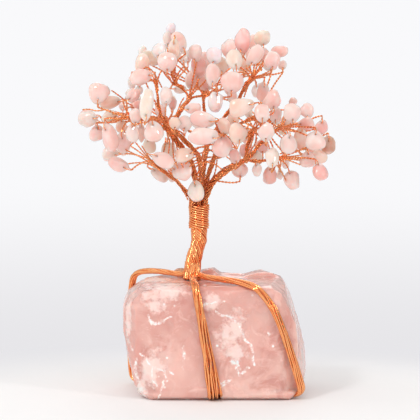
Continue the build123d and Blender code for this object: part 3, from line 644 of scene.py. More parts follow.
def routed_twigs(chips, routes, limb_runs):
    """Route each chip's twig from its knot, the shortest first."""
    twigs = {}
    loops = {chip.number: sampled(chip.loop, sample_step) for chip in chips}
    jobs = []
    for knot, centre in knots.items():
        members = [chip for chip in chips if chip.knot == knot]
        fixed = []
        for _, start, end, points, radius in routes:
            angle = math.asin(min(1, (radius + twig_radius + wire_gap) / knot_radius))
            if end == knot:
                fixed.append((unit(points[-2] - centre), angle))
            if start == knot:
                fixed.append((unit(points[1] - centre), angle))
        starts = spread_starts([chip.loop[0] - centre for chip in members], fixed)
        for chip, direction in zip(members, starts):
            length = np.linalg.norm(chip.loop[0] - centre)
            jobs.append((length, chip.number, chip, direction))
    jobs.sort(key=lambda job: job[:2])
    stems = {}
    for _, number, chip, direction in jobs:
        centre = knots[chip.knot]
        start = centre + direction * (knot_radius + knot_gap)
        lead = centre + direction * (knot_radius + stem_lead)
        others = [loops[n] for n in loops if n != number] + list(stems.values())
        wire_points = np.concatenate(others)
        best = None
        for stem in stem_tries(start, lead, chip):
            if best is None:
                best = stem
            if stem_is_clear(stem, chip, chips, limb_runs, wire_points):
                best = stem
                break
        stems[number] = sampled(best, sample_step)
        twigs[number] = np.concatenate([best, chip.loop[1:]])
    return twigs


# The frame and the camera

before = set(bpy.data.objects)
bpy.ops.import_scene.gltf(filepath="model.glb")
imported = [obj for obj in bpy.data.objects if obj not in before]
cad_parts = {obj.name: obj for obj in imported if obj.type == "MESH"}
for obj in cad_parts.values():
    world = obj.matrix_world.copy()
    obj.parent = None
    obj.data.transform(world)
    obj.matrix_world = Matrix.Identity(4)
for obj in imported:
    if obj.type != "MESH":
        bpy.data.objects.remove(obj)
cad_low, cad_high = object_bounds()

CAMERA_DISTANCE = 3.0
SENSOR_WIDTH = 36
CLIP_RANGE = (0.1, 20)
PHOTO_PIXELS = 420
PHOTO_MIDDLE = 210


def placed(name, data):
    """Put an object in the scene."""
    thing = bpy.data.objects.new(name, data)
    bpy.context.scene.collection.objects.link(thing)
    return thing


def stand(thing, spot, back):
    """Stand a camera or a lamp at a spot, its back to a direction."""
    thing.location = spot
    thing.rotation_mode = "QUATERNION"
    thing.rotation_quaternion = back.to_track_quat("Z", "Y")


def aim_camera():
    """Look at the object as the photograph does, through a long lens."""
    data = bpy.data.cameras.new("camera")
    data.sensor_width = SENSOR_WIDTH
    data.lens = SENSOR_WIDTH * CAMERA_DISTANCE / (PHOTO_PIXELS * pixel * MM)
    data.clip_start, data.clip_end = CLIP_RANGE
    drop = math.radians(VIEW_DROP)
    back = Vector((0, -math.cos(drop), math.sin(drop)))
    target = Vector(place(PHOTO_MIDDLE, PHOTO_MIDDLE, 0)) * MM
    camera = placed("camera", data)
    stand(camera, target + back * CAMERA_DISTANCE, back)
    bpy.context.scene.camera = camera


aim_camera()


# Meshes

class Shape:
    """Gathers points in millimetres, faces and tones for one piece."""

    def __init__(self):
        self.points = []
        self.tones = []
        self.faces = []
        self.count = 0

    def add(self, points, faces, tone):
        """Add points, and faces as arrays of three or four point numbers."""
        self.points.append(points)
        self.tones.append(np.broadcast_to(tone, (len(points), 4)))
        self.faces += [np.array(rows) + self.count for rows in faces]
        self.count += len(points)

    def piece(self, node, material, slot):
        """Make the piece that stands for a node."""
        mesh = bpy.data.meshes.new(node)
        points = np.clip(np.concatenate(self.points) * MM, cad_low, cad_high)
        mesh.vertices.add(len(points))
        mesh.vertices.foreach_set("co", points.astype(np.float32).ravel())
        corners = np.concatenate([rows.ravel() for rows in self.faces])
        sizes = np.concatenate([
            np.full(len(rows), rows.shape[1]) for rows in self.faces
        ])
        starts = np.concatenate([[0], np.cumsum(sizes)[:-1]])
        mesh.loops.add(len(corners))
        mesh.loops.foreach_set("vertex_index", corners.astype(np.int32))
        mesh.polygons.add(len(sizes))
        mesh.polygons.foreach_set("loop_start", starts.astype(np.int32))
        mesh.update(calc_edges=True)
        mesh.validate()
        dress(mesh, node, np.concatenate(self.tones), material)


def dress(mesh, node, tones, material):
    """Put a smooth mesh and its tones in the scene as the piece for a node."""
    mesh.polygons.foreach_set("use_smooth", np.ones(len(mesh.polygons), dtype=bool))
    mesh.update()
    attribute = mesh.color_attributes.new("tone", "FLOAT_COLOR", "POINT")
    attribute.data.foreach_set("color", tones.astype(np.float32).ravel())
    mesh.materials.clear()
    mesh.materials.append(material)
    piece = placed("dressed_" + node, mesh)
    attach(piece, "root")
    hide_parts(node)


# Wires

# Points on each bend of a curve, before they are spaced evenly
CURVE_COUNT = 25


def evenly(points, step):
    """Space points evenly along their line, and give their distances along it."""
    runs = np.linalg.norm(np.diff(points, axis=0), axis=1)
    along = np.concatenate([[0], np.cumsum(runs)])
    wanted = np.linspace(0, along[-1], max(3, int(round(along[-1] / step)) + 1))
    return np.column_stack([np.interp(wanted, along, row) for row in points.T]), wanted


def curve(points, step):
    """Follow the smooth curve that a route's points pull."""
    points = np.array(points)
    if len(points) < 3:
        return evenly(points, step)
    middles = (points[1:-2] + points[2:-1]) / 2
    starts = np.concatenate([points[:1], middles])
    ends = np.concatenate([middles, points[-1:]])
    share = np.linspace(0, 1, CURVE_COUNT)[:, None]
    rows = [
        a * (1 - share)**2 + b * 2 * share * (1 - share) + c * share**2
        for a, b, c in zip(starts, points[1:-1], ends)
    ]
    return evenly(np.concatenate([rows[0]] + [row[1:] for row in rows[1:]]), step)


def relaxed(points, rounds):
    """Ease the kinks out of an evenly spaced line, its ends kept."""
    points = points.copy()
    for _ in range(rounds):
        points[1:-1] += ((points[:-2] + points[2:]) / 2 - points[1:-1]) * 0.5
    return points


def frames_along(points):
    """Carry two square directions along a line without twisting them."""
    ways = np.gradient(points, axis=0)
    ways /= np.linalg.norm(ways, axis=1)[:, None]
    side = np.cross(ways[0], BOW_AXIS)
    sides = np.empty_like(ways)
    for index, way in enumerate(ways):
        side = side - way * (side @ way)
        side /= math.sqrt(side @ side)
        sides[index] = side
    return sides, np.cross(ways, sides)


def offset_line(points, reach, angle):
    """Move a line sideways by a reach, at an angle given point by point."""
    sides, others = frames_along(points)
    shift = sides * np.cos(angle)[:, None] + others * np.sin(angle)[:, None]
    return points + shift * np.broadcast_to(reach, len(points))[:, None]


def wandering(along, step, past, random):
    """Let a value drift along a line between -1 and 1, with a new aim every step."""
    stops = np.arange(0, along[-1] + past, step)
    return np.interp(along, stops, random.uniform(-1, 1, len(stops)))


def lobed(sides, lobes=0, depth=0):
    """Give a wire's section: round, or with the lobes of twisted strands."""
    angles = 2 * math.pi * np.arange(sides) / sides
    radii = 1 - depth * (0.5 - 0.5 * np.cos(lobes * angles))
    return np.column_stack([radii * np.cos(angles), radii * np.sin(angles)])


# Sections: a twig's wire, a root strand's, a wire of the trunk, the trunk's
# core and a twisted pair
FINE = lobed(5)
PLAIN = lobed(7)
ROUND = lobed(8)
CORE = lobed(16)
PAIR = lobed(8, 2, 0.5)
# A section's painted shade: its tone in its creases, what it gains where it
# stands proud, and the least difference between the two that counts
CREASE_PAINTED_SHADE = 0.55
PROUD_PAINTED_LIGHT = 0.45
LEAST_CREASE = 1e-6


def wire(shape, points, radius, section, turns=0.0, shade=1.0):
    """Add a wire along a line, its section turning as it goes, with painted shade in its
    creases.
    """
    sides, others = frames_along(points)
    count = len(section)
    turns = np.broadcast_to(turns, len(points))
    radii = np.broadcast_to(radius, len(points))
    cos, sin = np.cos(turns)[:, None], np.sin(turns)[:, None]
    first = section[None, :, 0] * cos - section[None, :, 1] * sin
    second = section[None, :, 0] * sin + section[None, :, 1] * cos
    rings = (
        points[:, None]
        + sides[:, None] * (first * radii[:, None])[..., None]
        + others[:, None] * (second * radii[:, None])[..., None]
    )
    grid = np.arange(len(points) * count).reshape(len(points), count)
    after = np.roll(grid, -1, axis=1)
    quads = np.stack([grid[:-1], after[:-1], after[1:], grid[1:]], axis=-1)
    start, end = grid.size, grid.size + 1
    caps = [
        np.column_stack([after[0], grid[0], np.full(count, start)]),
        np.column_stack([grid[-1], after[-1], np.full(count, end)]),
    ]
    vertices = np.concatenate([rings.reshape(-1, 3), points[[0, -1]]])
    # Painted shade: a section is darker in its creases than where it stands proud
    proud = np.linalg.norm(section, axis=1)
    lift = (proud - proud.min() + LEAST_CREASE) / (np.ptp(proud) + LEAST_CREASE)
    crease_shading = CREASE_PAINTED_SHADE + PROUD_PAINTED_LIGHT * lift
    shades = np.outer(np.broadcast_to(shade, len(points)), crease_shading)
    tones = np.concatenate([shades.ravel(), shades[[0, -1], 0]])
    shape.add(vertices, [quads.reshape(-1, 4), *caps], tones[:, None])


# Materials

class Nodes:
    """A node tree under way."""

    def __init__(self, tree):
        self.tree = tree

    def put(self, socket, value):
        """Link a socket, or set its constant."""
        if isinstance(value, bpy.types.NodeSocket):
            self.tree.links.new(value, socket)
        else:
            socket.default_value = value

    def add(self, kind, inputs=None, **settings):
        """Add a node with its settings and inputs."""
        node = self.tree.nodes.new(kind)
        for name, value in settings.items():
            setattr(node, name, value)
        for name, value in (inputs or {}).items():
            self.put(node.inputs[name], value)
        return node

    def steps(self, value, low, high, from_value=0.0, to_value=1.0):
        """Stretch a value smoothly from between two limits."""
        inputs = {"Value": value, "From Min": low, "From Max": high,
                  "To Min": from_value, "To Max": to_value}
        node = self.add("ShaderNodeMapRange", inputs, interpolation_type="SMOOTHSTEP")
        return node.outputs["Result"]

    def join(self, first, second, operation="ADD"):
        """Join two values."""
        node = self.add("ShaderNodeMath", {0: first, 1: second}, operation=operation)
        return node.outputs[0]

    def vector(self, operation, first, second):
        """Work on two vectors, or on a vector and a scale."""
        other = "Scale" if operation == "SCALE" else 1
        inputs = {0: first, other: second}
        node = self.add("ShaderNodeVectorMath", inputs, operation=operation)
        number = operation in ("DOT_PRODUCT", "DISTANCE")
        return node.outputs["Value" if number else "Vector"]

    def plainly_seen(self):
        """Say whether a ray shows the background: seen, mirrored or through glass."""
        path = self.add("ShaderNodeLightPath").outputs
        either = self.join(path["Is Camera Ray"], path["Is Glossy Ray"], "MAXIMUM")
        return self.join(either, path["Is Transmission Ray"], "MAXIMUM")


class Paint(Nodes):
    """A material under way: its nodes and its shader."""

    def __init__(self, name):
        self.material = bpy.data.materials.new(name)
        self.material.use_nodes = True
        super().__init__(self.material.node_tree)
        self.shader = self.tree.nodes["Principled BSDF"]
        self.place = self.add("ShaderNodeTexCoord").outputs["Object"]

    def tone(self):
        """Give the outputs that hold the mesh's own tones."""
        return self.add("ShaderNodeAttribute", attribute_name="tone").outputs

    def noise(self, scale, detail=3.0, roughness=0.5, distortion=0.0):
        """Give a noise, its scale in patches per metre."""
        inputs = {"Vector": self.place, "Scale": scale, "Detail": detail,
                  "Roughness": roughness, "Distortion": distortion}
        return self.add("ShaderNodeTexNoise", inputs).outputs["Fac"]

    def mix(self, factor, first, second):
        """Mix two colours."""
        inputs = {0: factor, 6: first, 7: second}
        return self.add("ShaderNodeMix", inputs, data_type="RGBA").outputs[2]

    def layer(self, colour, mask, share, over):
        """Lay a colour over another where a mask says, up to a share."""
        return self.mix(self.join(mask, share, "MULTIPLY"), colour, over)

    def bump(self, height, strength, distance):
        """Give a bumped normal."""
        inputs = {"Height": height, "Strength": strength, "Distance": distance}
        return self.add("ShaderNodeBump", inputs).outputs["Normal"]

    def finish(self, **inputs):
        """Set the shader's own sockets."""
        for name, value in inputs.items():
            self.put(self.shader.inputs[name.replace("_", " ")], value)
        return self.material


def rgb(red, green, blue):
    """Turn a display colour of 0 to 255 into a linear one."""
    shares = [value / 255 for value in (red, green, blue)]
    bent = [s / 12.92 if s < 0.04 else ((s + 0.055) / 1.055)**2.4 for s in shares]
    return (*bent, 1.0)


COPPER_PALE = rgb(255, 190, 134)
COPPER_DEEP = rgb(255, 166, 104)
COPPER_RED = rgb(246, 126, 64)
COPPER_PAINTED_SHADE = rgb(204, 88, 36)
CHIP_MILK = (1.0, 0.86, 0.83, 1.0)
CHIP_STAIN = rgb(250, 168, 140)
STONE_PINK = rgb(219, 164, 153)
STONE_PALE = rgb(239, 198, 187)
STONE_DEEP = rgb(208, 143, 131)
STONE_FLAKE = rgb(252, 220, 210)
STONE_FROST = rgb(253, 224, 217)
STONE_WHITE_AND_GLINT = rgb(255, 250, 248)
QUARTZ_IOR = 1.54


def copper_paint():
    """Bright drawn copper wire, a little redder in patches, with painted shade where its
    tone is low.
    """
    paint = Paint("copper_wire")
    patches = paint.steps(paint.noise(230, 4, 0.6), 0.42, 0.72)
    fine = paint.noise(2400, 2, 0.5)
    colour = paint.mix(fine, COPPER_PALE, COPPER_DEEP)
    colour = paint.layer(colour, patches, 0.6, COPPER_RED)
    # Painted shade from the mesh's tone: in creases, inside limbs and the trunk and
    # between a pair's beads; the tone also differs at random from wire to wire
    proud = paint.steps(paint.tone()["Fac"], 0.1, 0.9)
    return paint.finish(
        Base_Color=paint.mix(proud, COPPER_PAINTED_SHADE, colour),
        Metallic=1.0,
        Roughness=paint.steps(fine, 0.3, 0.75, 0.10, 0.22),
        Normal=paint.bump(fine, 0.15, 0.00004),
    )


def chip_paint():
    """Milky, slightly cloudy rose quartz, tumbled to a gloss."""
    paint = Paint("rose_quartz_chips")
    tone = paint.tone()["Color"]
    cloud = paint.steps(paint.noise(150, 3, 0.55, 0.4), 0.40, 0.72)
    patch = paint.steps(paint.noise(260, 4, 0.6, 0.8), 0.52, 0.76)
    colour = paint.mix(cloud, tone, paint.mix(0.5, tone, CHIP_MILK))
    colour = paint.layer(colour, patch, 0.3, paint.mix(0.65, tone, CHIP_STAIN))
    return paint.finish(
        Base_Color=colour,
        Roughness=paint.steps(paint.noise(900, 3, 0.5), 0.3, 0.7, 0.05, 0.14),
        IOR=QUARTZ_IOR,
        Subsurface_Weight=1.0,
        Subsurface_Scale=0.0055,
        Subsurface_Radius=(1.0, 0.60, 0.52),
        Subsurface_Anisotropy=0.2,
        Transmission_Weight=0.06,
        Coat_Weight=0.8,
        Coat_Roughness=0.04,
        Normal=paint.bump(paint.noise(300, 2, 0.5), 0.08, 0.0004),
    )


def segment(paint, spot, start, end, width):
    """Mask a thin line between two places on the front, in pixels."""
    start, end = [
        Vector((*place(*pixels, 0)[[0, 2]] * MM, 0)) for pixels in (start, end)
    ]
    span = end - start
    away = paint.vector("SUBTRACT", spot, start)
    along = paint.vector("DOT_PRODUCT", away, span / span.length_squared)
    share = paint.add("ShaderNodeClamp", {"Value": along}).outputs[0]
    gap = paint.vector("DISTANCE", away, paint.vector("SCALE", span, share))
    reach = width * pixel * MM
    return paint.steps(gap, reach * CORE_SHARE, reach, 1.0, 0.0)


# White fractures on the stone's front, white as real fractures and as painted
# highlights on their edges: pixels along each, and its width.  The whitest part
# of their width, how far they bend off a straight line, and the depths in
# metres over which they end
CORE_SHARE = 0.35
FRACTURE_BEND = 0.0024
FRACTURE_DEPTHS = (-0.017, -0.013)
FRACTURES = (
    ((216, 303), (222, 307), (229, 307), (236, 313), 1.6),
    ((236, 313), (241, 320), (244, 330), (250, 335), 1.5),
    ((250, 335), (254, 344), (252, 352), 1.6),
    ((251, 349), (254, 355), 1.8),
    ((248, 358), (244, 363), (240, 366), 1.8),
    ((240, 366), (236, 359), 1.6),
    ((232, 352), (237, 358), 2.6),
    ((236, 352), (240, 359), 2.0),
    ((219, 378), (231, 371), 1.6),
    ((221, 374), (229, 371), 1.2),
    ((183, 337), (184.5, 345), (183, 359), 1.8),
    ((149, 307), (152, 314), (158, 315), (164, 311), 2.2),
    ((163, 311), (171, 308), 1.3),
    ((141, 345), (152, 357), 1.4),
    ((152, 357), (164, 361), (167, 372), 1.3),
    ((153, 357), (152, 368), (158, 378), 1.2),
    ((164, 371), (161, 384), (157, 393), 1.4),
    ((136, 352), (135, 362), (138, 374), (144, 392), 2.4),
    ((126, 313), (125, 330), (132, 342), 2.2),
    ((186, 392), (190, 394), 2.4),
    ((203, 296), (224, 292), 1.6),
    ((268, 323), (269, 326), 1.8),
    ((170, 362), (174, 364), 1.4),
)


def fracture_and_glint_mask(paint):
    """Mask the fractures on the front, partly painted highlights, each bent and broken as
    it runs.
    """
    warp = paint.add("ShaderNodeTexNoise", {"Vector": paint.place, "Scale": 520.0,
                                            "Detail": 4.0, "Roughness": 0.7})
    bend = paint.vector("SUBTRACT", warp.outputs["Color"], Vector((0.5, 0.5, 0.5)))
    bent = paint.vector("ADD", paint.place, paint.vector("SCALE", bend, FRACTURE_BEND))
    x, y, z = paint.add("ShaderNodeSeparateXYZ", {0: bent}).outputs
    spot = paint.add("ShaderNodeCombineXYZ", {0: x, 1: z}).outputs[0]
    lines = 0.0
    for *places, width in FRACTURES:
        for start, end in zip(places, places[1:]):
            line = segment(paint, spot, start, end, width)
            lines = paint.join(lines, line, "MAXIMUM")
    front = paint.steps(y, *FRACTURE_DEPTHS, 1.0, 0.0)
    broken = paint.steps(paint.noise(640, 3, 0.7), 0.40, 0.60, 0.05, 0.95)
    return paint.join(paint.join(lines, front, "MULTIPLY"), broken, "MULTIPLY")


def fleck_mask(paint):
    """Mask small white flecks that lie together in patches."""
    inputs = {"Vector": paint.place, "Scale": 210.0, "Randomness": 1.0}
    flecks = paint.add("ShaderNodeTexVoronoi", inputs).outputs["Distance"]
    patches = paint.steps(paint.noise(80, 3), 0.5, 0.62)
    return paint.join(paint.steps(flecks, 0.05, 0.14, 1.0, 0.0), patches, "MULTIPLY")


def stone_paint():
    """Rough rose quartz: soft pink depths, frosted zones, white fractures partly painted
    highlights.
    """
    paint = Paint("rose_quartz_stone")
    zones = paint.steps(paint.noise(30, 3, 0.55, 0.5), 0.34, 0.66)
    deep = paint.steps(paint.noise(62, 5, 0.6, 1.2), 0.50, 0.70)
    flakes = paint.steps(paint.noise(170, 6, 0.7, 0.9), 0.52, 0.70)
    cloud = paint.steps(paint.noise(70, 5, 0.7, 0.4), 0.56, 0.70)
    ragged = paint.noise(330, 5, 0.65)
    edge = paint.join(paint.tone()["Fac"], paint.steps(ragged, 0.2, 0.8, -0.5, 0.5))
    frost = paint.steps(edge, 0.25, 0.95)
    white = paint.join(paint.join(frost, 0.9, "MULTIPLY"),
                       paint.join(cloud, 0.3, "MULTIPLY"), "MAXIMUM")
    # White fractures, partly painted highlights, and white flecks
    white_and_glints = paint.join(fracture_and_glint_mask(paint), fleck_mask(paint), "MAXIMUM")
    colour = paint.mix(zones, STONE_PINK, STONE_PALE)
    colour = paint.layer(colour, deep, 0.75, STONE_DEEP)
    colour = paint.layer(colour, flakes, 0.4, STONE_FLAKE)
    colour = paint.mix(white, colour, STONE_FROST)
    colour = paint.mix(white_and_glints, colour, STONE_WHITE_AND_GLINT)
    gloss = paint.steps(paint.noise(120, 4, 0.6), 0.35, 0.7, 0.10, 0.30)
    grain = paint.join(paint.noise(150, 6, 0.6, 0.3),
                       paint.join(frost, ragged, "MULTIPLY"))
    return paint.finish(
        Base_Color=colour,
        Roughness=paint.join(gloss, paint.join(white, 0.25, "MULTIPLY")),
        IOR=QUARTZ_IOR,
        Subsurface_Weight=0.85,
        Subsurface_Scale=0.0035,
        Subsurface_Radius=(1.0, 0.55, 0.48),
        Coat_Weight=0.4,
        Coat_Roughness=0.06,
        Normal=paint.bump(grain, 0.6, 0.0012),
    )


copper = copper_paint()
quartz = chip_paint()
rock = stone_paint()


# Chips: a tone for each, in the order of their places

TONES = {
    "p": rgb(253, 207, 200), "k": rgb(253, 198, 190), "r": rgb(253, 190, 183),
    "s": rgb(253, 182, 176), "e": rgb(253, 204, 189), "c": rgb(252, 220, 208),
    "w": rgb(252, 225, 222), "g": rgb(232, 212, 204), "b": rgb(249, 214, 198),
    "o": rgb(214, 196, 178), "t": rgb(196, 158, 136), "l": rgb(238, 218, 222),
}
CHIP_TONES = {
    "left": "pegbrkkprrpre",
    "left_middle": "krpkbo",
    "bough": "cppe",
    "low_left": "rggppp",
    "crossing": "e",
    "fork": "ck",
    "upper_left": "goekgw",
    "top_left": "wlpkekgrg",
    "top": "prlkpkp",
    "top_middle": "bpkrw",
    "top_right": "ksepbrrrwkkek",
    "centre_right": "bkppe",
    "elbow": "ekp",
    "centre": "kpeek",
    "right": "prrrsptpebrk",
    "low_right": "crppkesp",
    "right_middle": "prrbr",
}
BACK_TONES = "pkwegrpbkpel"

# Chip meshes: the rings up to the hole and beyond it, the points on each side,
# the steps about a hole as a share of its radius, and the eight about it
HOLE_ROW = 6
FAR_ROWS = 13
ARC_COUNT = 13
RIM_STEP_SHARE = 0.72
RIM_STEPS = ((-1, -1), (-1, 0), (-1, 1), (0, 1), (1, 1), (1, 0), (1, -1), (0, -1))
# The hole's radius, as a share of the drilled one, and how flat a chip may be
# at its rim
WORN_HOLE_SHARE = 0.74
LEAST_FLATNESS = 0.02
# Wear: flats in shares of a chip's half sizes, and lumps
FLAT_COUNT = 7
FLAT_WAYS = (1.0, 0.55, 0.8)
FLAT_LEVELS = (0.72, 0.94)
FLAT_SHARE = 0.85
FLAT_ROUNDING = 0.002
LUMP_COUNT = 4
LUMP_PACE = 1.9
LUMP_SHARE = 0.04


def chip_tone(chip, place_in_fan):
    """Give a chip's tone by its place among the chips of its knot."""
    letters = CHIP_TONES.get(chip.knot, BACK_TONES)
    return TONES[letters[place_in_fan % len(letters)]]


def worn(local, number):
    """Wear flats and hollows into a chip, in shares of its half sizes."""
    random = np.random.default_rng(number)
    reach = np.abs(local).max(axis=0)
    for _ in range(FLAT_COUNT):
        way = unit(random.normal(size=3) * FLAT_WAYS)
        proud = local @ way - random.uniform(*FLAT_LEVELS)
        pushed = 0.5 * (proud + np.sqrt(proud**2 + FLAT_ROUNDING))
        local = local - way * pushed[:, None] * FLAT_SHARE
    ways = random.normal(size=(LUMP_COUNT, 3)) * LUMP_PACE
    lumps = np.sin(local @ ways.T + random.uniform(0, 6, LUMP_COUNT)).mean(axis=1)
    local = local * (1 - LUMP_SHARE * lumps)[:, None]
    return local * reach / np.abs(local).max(axis=0)


def chip_turns(chip, hole_radius):
    """List the turns of a chip's rings and of their points, close set at the hole."""
    hole_turn = math.radians(HOLE_ANGLE)
    girth = chip.ring(HOLE_ANGLE)[1]
    step = RIM_STEP_SHARE * hole_radius / (chip.length / 2 * math.sin(hole_turn))
    turns = np.concatenate([
        np.linspace(0, hole_turn - step, HOLE_ROW + 1)[1:],
        [hole_turn],
        np.linspace(hole_turn + step, math.pi, FAR_ROWS + 1)[:-1],
    ])
    step = RIM_STEP_SHARE * hole_radius / (chip.width / 2 * girth)
    half_turn = math.pi / 2
    arc = np.linspace(half_turn + step, 3 * half_turn - step, ARC_COUNT)
    sides = np.concatenate([
        [half_turn - step, half_turn], arc, [3 * half_turn], arc[:-1] + math.pi,
    ])
    return turns, sides


def press_rim(chip, local, hole_radius, column, sign):
    """Move the points about one end of the hole onto its rim, and number them."""
    half = chip.length / 2
    middle = (chip.ring(HOLE_ANGLE)[2], -half * math.cos(math.radians(HOLE_ANGLE)))
    count = local.shape[1]
    rim = []
    for down, over in RIM_STEPS:
        row, side = HOLE_ROW + down, (column + over) % count
        away = local[row, side, [0, 2]] - middle
        a, h = middle + away * (hole_radius / np.linalg.norm(away))
        turn = math.acos(max(-1, min(1, -h / half)))
        _, girth, shift = chip.ring(math.degrees(turn))
        share = (a - shift) / (chip.width / 2 * girth)
        f = chip.depth / 2 * girth * math.sqrt(max(LEAST_FLATNESS, 1 - share**2))
        local[row, side] = (a, f * sign, h)
        rim.append(row * count + side)
    return rim


def add_chip(shape, chip, tone):
    """Add one drilled chip."""
    hole_radius = hole_diameter / 2 * WORN_HOLE_SHARE
    turns, sides = chip_turns(chip, hole_radius)
    half = chip.length / 2
    rings = np.array([chip.ring(math.degrees(turn)) for turn in turns])
    heights = -half * np.cos(turns)
    across = rings[:, 2, None] + chip.width / 2 * rings[:, 1, None] * np.cos(sides)
    facing = chip.depth / 2 * rings[:, 1, None] * np.sin(sides)
    local = np.stack([across, facing, np.broadcast_to(heights[:, None], across.shape)],
                     axis=-1)
    count = len(sides)
    grid = np.arange(len(turns) * count).reshape(len(turns), count)
    after = np.roll(grid, -1, axis=1)
    quads = np.stack([grid[:-1], grid[1:], after[1:], after[:-1]], axis=-1)
    keep = np.ones(quads.shape[:2], dtype=bool)
    rims = []
    for column, sign in ((1, 1), (ARC_COUNT + 2, -1)):
        rims.append(press_rim(chip, local, hole_radius, column, sign))
        keep[HOLE_ROW - 1:HOLE_ROW + 1, column - 1:column + 1] = False
    points = np.concatenate([local.reshape(-1, 3), [[0, 0, -half], [0, 0, half]]])
    front, back = points[rims[0]], points[rims[1]]
    gaps = np.linalg.norm(back[:, [0, 2]] - front[:, None, [0, 2]], axis=2)
    tunnel = np.concatenate([front, back[gaps.argmin(axis=1)]])
    ring = len(points) + np.arange(len(RIM_STEPS))
    following = np.roll(ring, -1)
    walls = np.column_stack([ring, ring + len(ring), following + len(ring), following])
    caps = [
        np.column_stack([grid[0], after[0], np.full(count, grid.size)]),
        np.column_stack([after[-1], grid[-1], np.full(count, grid.size + 1)]),
    ]
    shaped = worn(np.concatenate([points, tunnel]) / chip.half, chip.number) * chip.half
    shape.add(chip.middle + shaped @ chip.axes, [quads[keep], walls, *caps], tone)


# Twigs

# The wire's radius, the length in which a pair turns once, the step along it,
# how often its kinks are eased, how its pitch differs, and its loop's tone
# beside the painted highlights and shade of its beads
WIRE_RADIUS = 0.185
PAIR_PITCH = 2.5
TWIG_STEP = 0.27
TWIG_ROUNDS = 24
TWIG_SEED = 1000
PITCH_SHARES = (0.85, 1.15)
LOOP_TONE = 0.9
# Where a twig leaves its limb, before the knot: how far back, and how scattered
LEAVING = ((4.5, 1.0), (1.2, 0.4))
LEAVING_SCATTER = 0.35


def add_twig(shape, chip, route):
    """Add a chip's wire: up its twig, through the hole and back down round itself."""
    random = np.random.default_rng(TWIG_SEED + chip.number)
    stem, loop = route[:-6], route[-6:]
    back, radius = ways_back[chip.knot]
    scatter = random.normal(size=3) * radius * LEAVING_SCATTER
    inside = [knots[chip.knot] + back * run + scatter * share for run, share in LEAVING]
    line, along = curve(np.concatenate([inside, stem[1:], loop[:1]]), TWIG_STEP)
    line[:-4] = relaxed(line, TWIG_ROUNDS)[:-4]
    pitch = PAIR_PITCH * random.uniform(*PITCH_SHARES)
    angle = 2 * math.pi * (along[-1] - along) / pitch
    facing = unit(loop[2] - loop[3])
    sides, others = frames_along(line)
    angle = angle + math.atan2(facing @ others[-1], facing @ sides[-1])
    up = offset_line(line, WIRE_RADIUS, angle)
    down = offset_line(line, -WIRE_RADIUS, angle)
    round_loop = curve(np.concatenate([up[-1:], loop[1:5], down[-1:]]), TWIG_STEP)[0]
    round_loop = round_loop[1:-1]
    # Painted highlights and shade along the pair, bright and dark in turn twice a turn
    bead_light_and_shade = 0.5 + 0.5 * np.cos(angle - angle[-1])**2
    shade = np.concatenate([bead_light_and_shade, np.full(len(round_loop), LOOP_TONE), bead_light_and_shade[::-1]])
    points = np.concatenate([up, round_loop, down[::-1]])
    wire(shape, points, WIRE_RADIUS, FINE, shade=shade)


# Limbs

# Strands of a limb: their radius, the length of one turn, how much of the limb
# they fill, and the step along them
STRAND_RADIUS = 0.31
STRAND_LAY = 15.0
STRAND_FILL = 0.72
LEAST_STRANDS = 3
LIMB_STEP = 0.36
LIMB_SEED = 50
# How strands differ: their pitch, their thickness and their tone, which differs
# at random and is darker inside the limb by painted shade, and how far they
# wander round it and off it
STRAND_PITCHES = (1.9, 2.6)
STRAND_GIRTHS = (0.9, 1.1)
STRAND_TONES = (0.8, 1.1)
INSIDE_PAINTED_SHADE = 0.65
OUTWARD_PAINTED_LIGHT = 0.35
WANDER_TURN = 0.25
WANDER_REACH = 0.12
# A limb's girth at its knot, as a share, and the length on which it narrows
KNOT_GIRTH = 0.55
NARROWING = 5.0
# How far a limb starts inside the trunk, or inside the limb that carries it
TRUNK_OVERLAP = 3.0
LIMB_OVERLAP = 3.5


def add_bundle(shape, points, radius, seed):
    """Add a bundle of twisted pairs along a route."""
    random = np.random.default_rng(seed)
    count = max(LEAST_STRANDS, int(STRAND_FILL * (radius / STRAND_RADIUS)**2))
    line, along = curve(points, LIMB_STEP)
    ends = np.minimum(1, (along[-1] - along) / NARROWING)
    girth = KNOT_GIRTH + (1 - KNOT_GIRTH) * ends
    for index in range(count):
        reach = (radius - STRAND_RADIUS * 0.8) * math.sqrt((index + 0.5) / count)
        start = index * 2 * math.pi * GOLDEN_SHARE
        wander = random.uniform(0.6, 1.3) * np.sin(along / random.uniform(3, 6) + start)
        angle = start + 2 * math.pi * along / STRAND_LAY + WANDER_TURN * wander
        strand = offset_line(line, reach * girth * (1 + WANDER_REACH * wander), angle)
        turns = 2 * math.pi * along / random.uniform(*STRAND_PITCHES) + start
        thickness = STRAND_RADIUS * random.uniform(*STRAND_GIRTHS)
        tone = random.uniform(*STRAND_TONES)
        # Painted shade: strands deeper in the limb are darker
        tone *= INSIDE_PAINTED_SHADE + OUTWARD_PAINTED_LIGHT * reach / radius
        wire(shape, strand, thickness, PAIR, turns, tone)


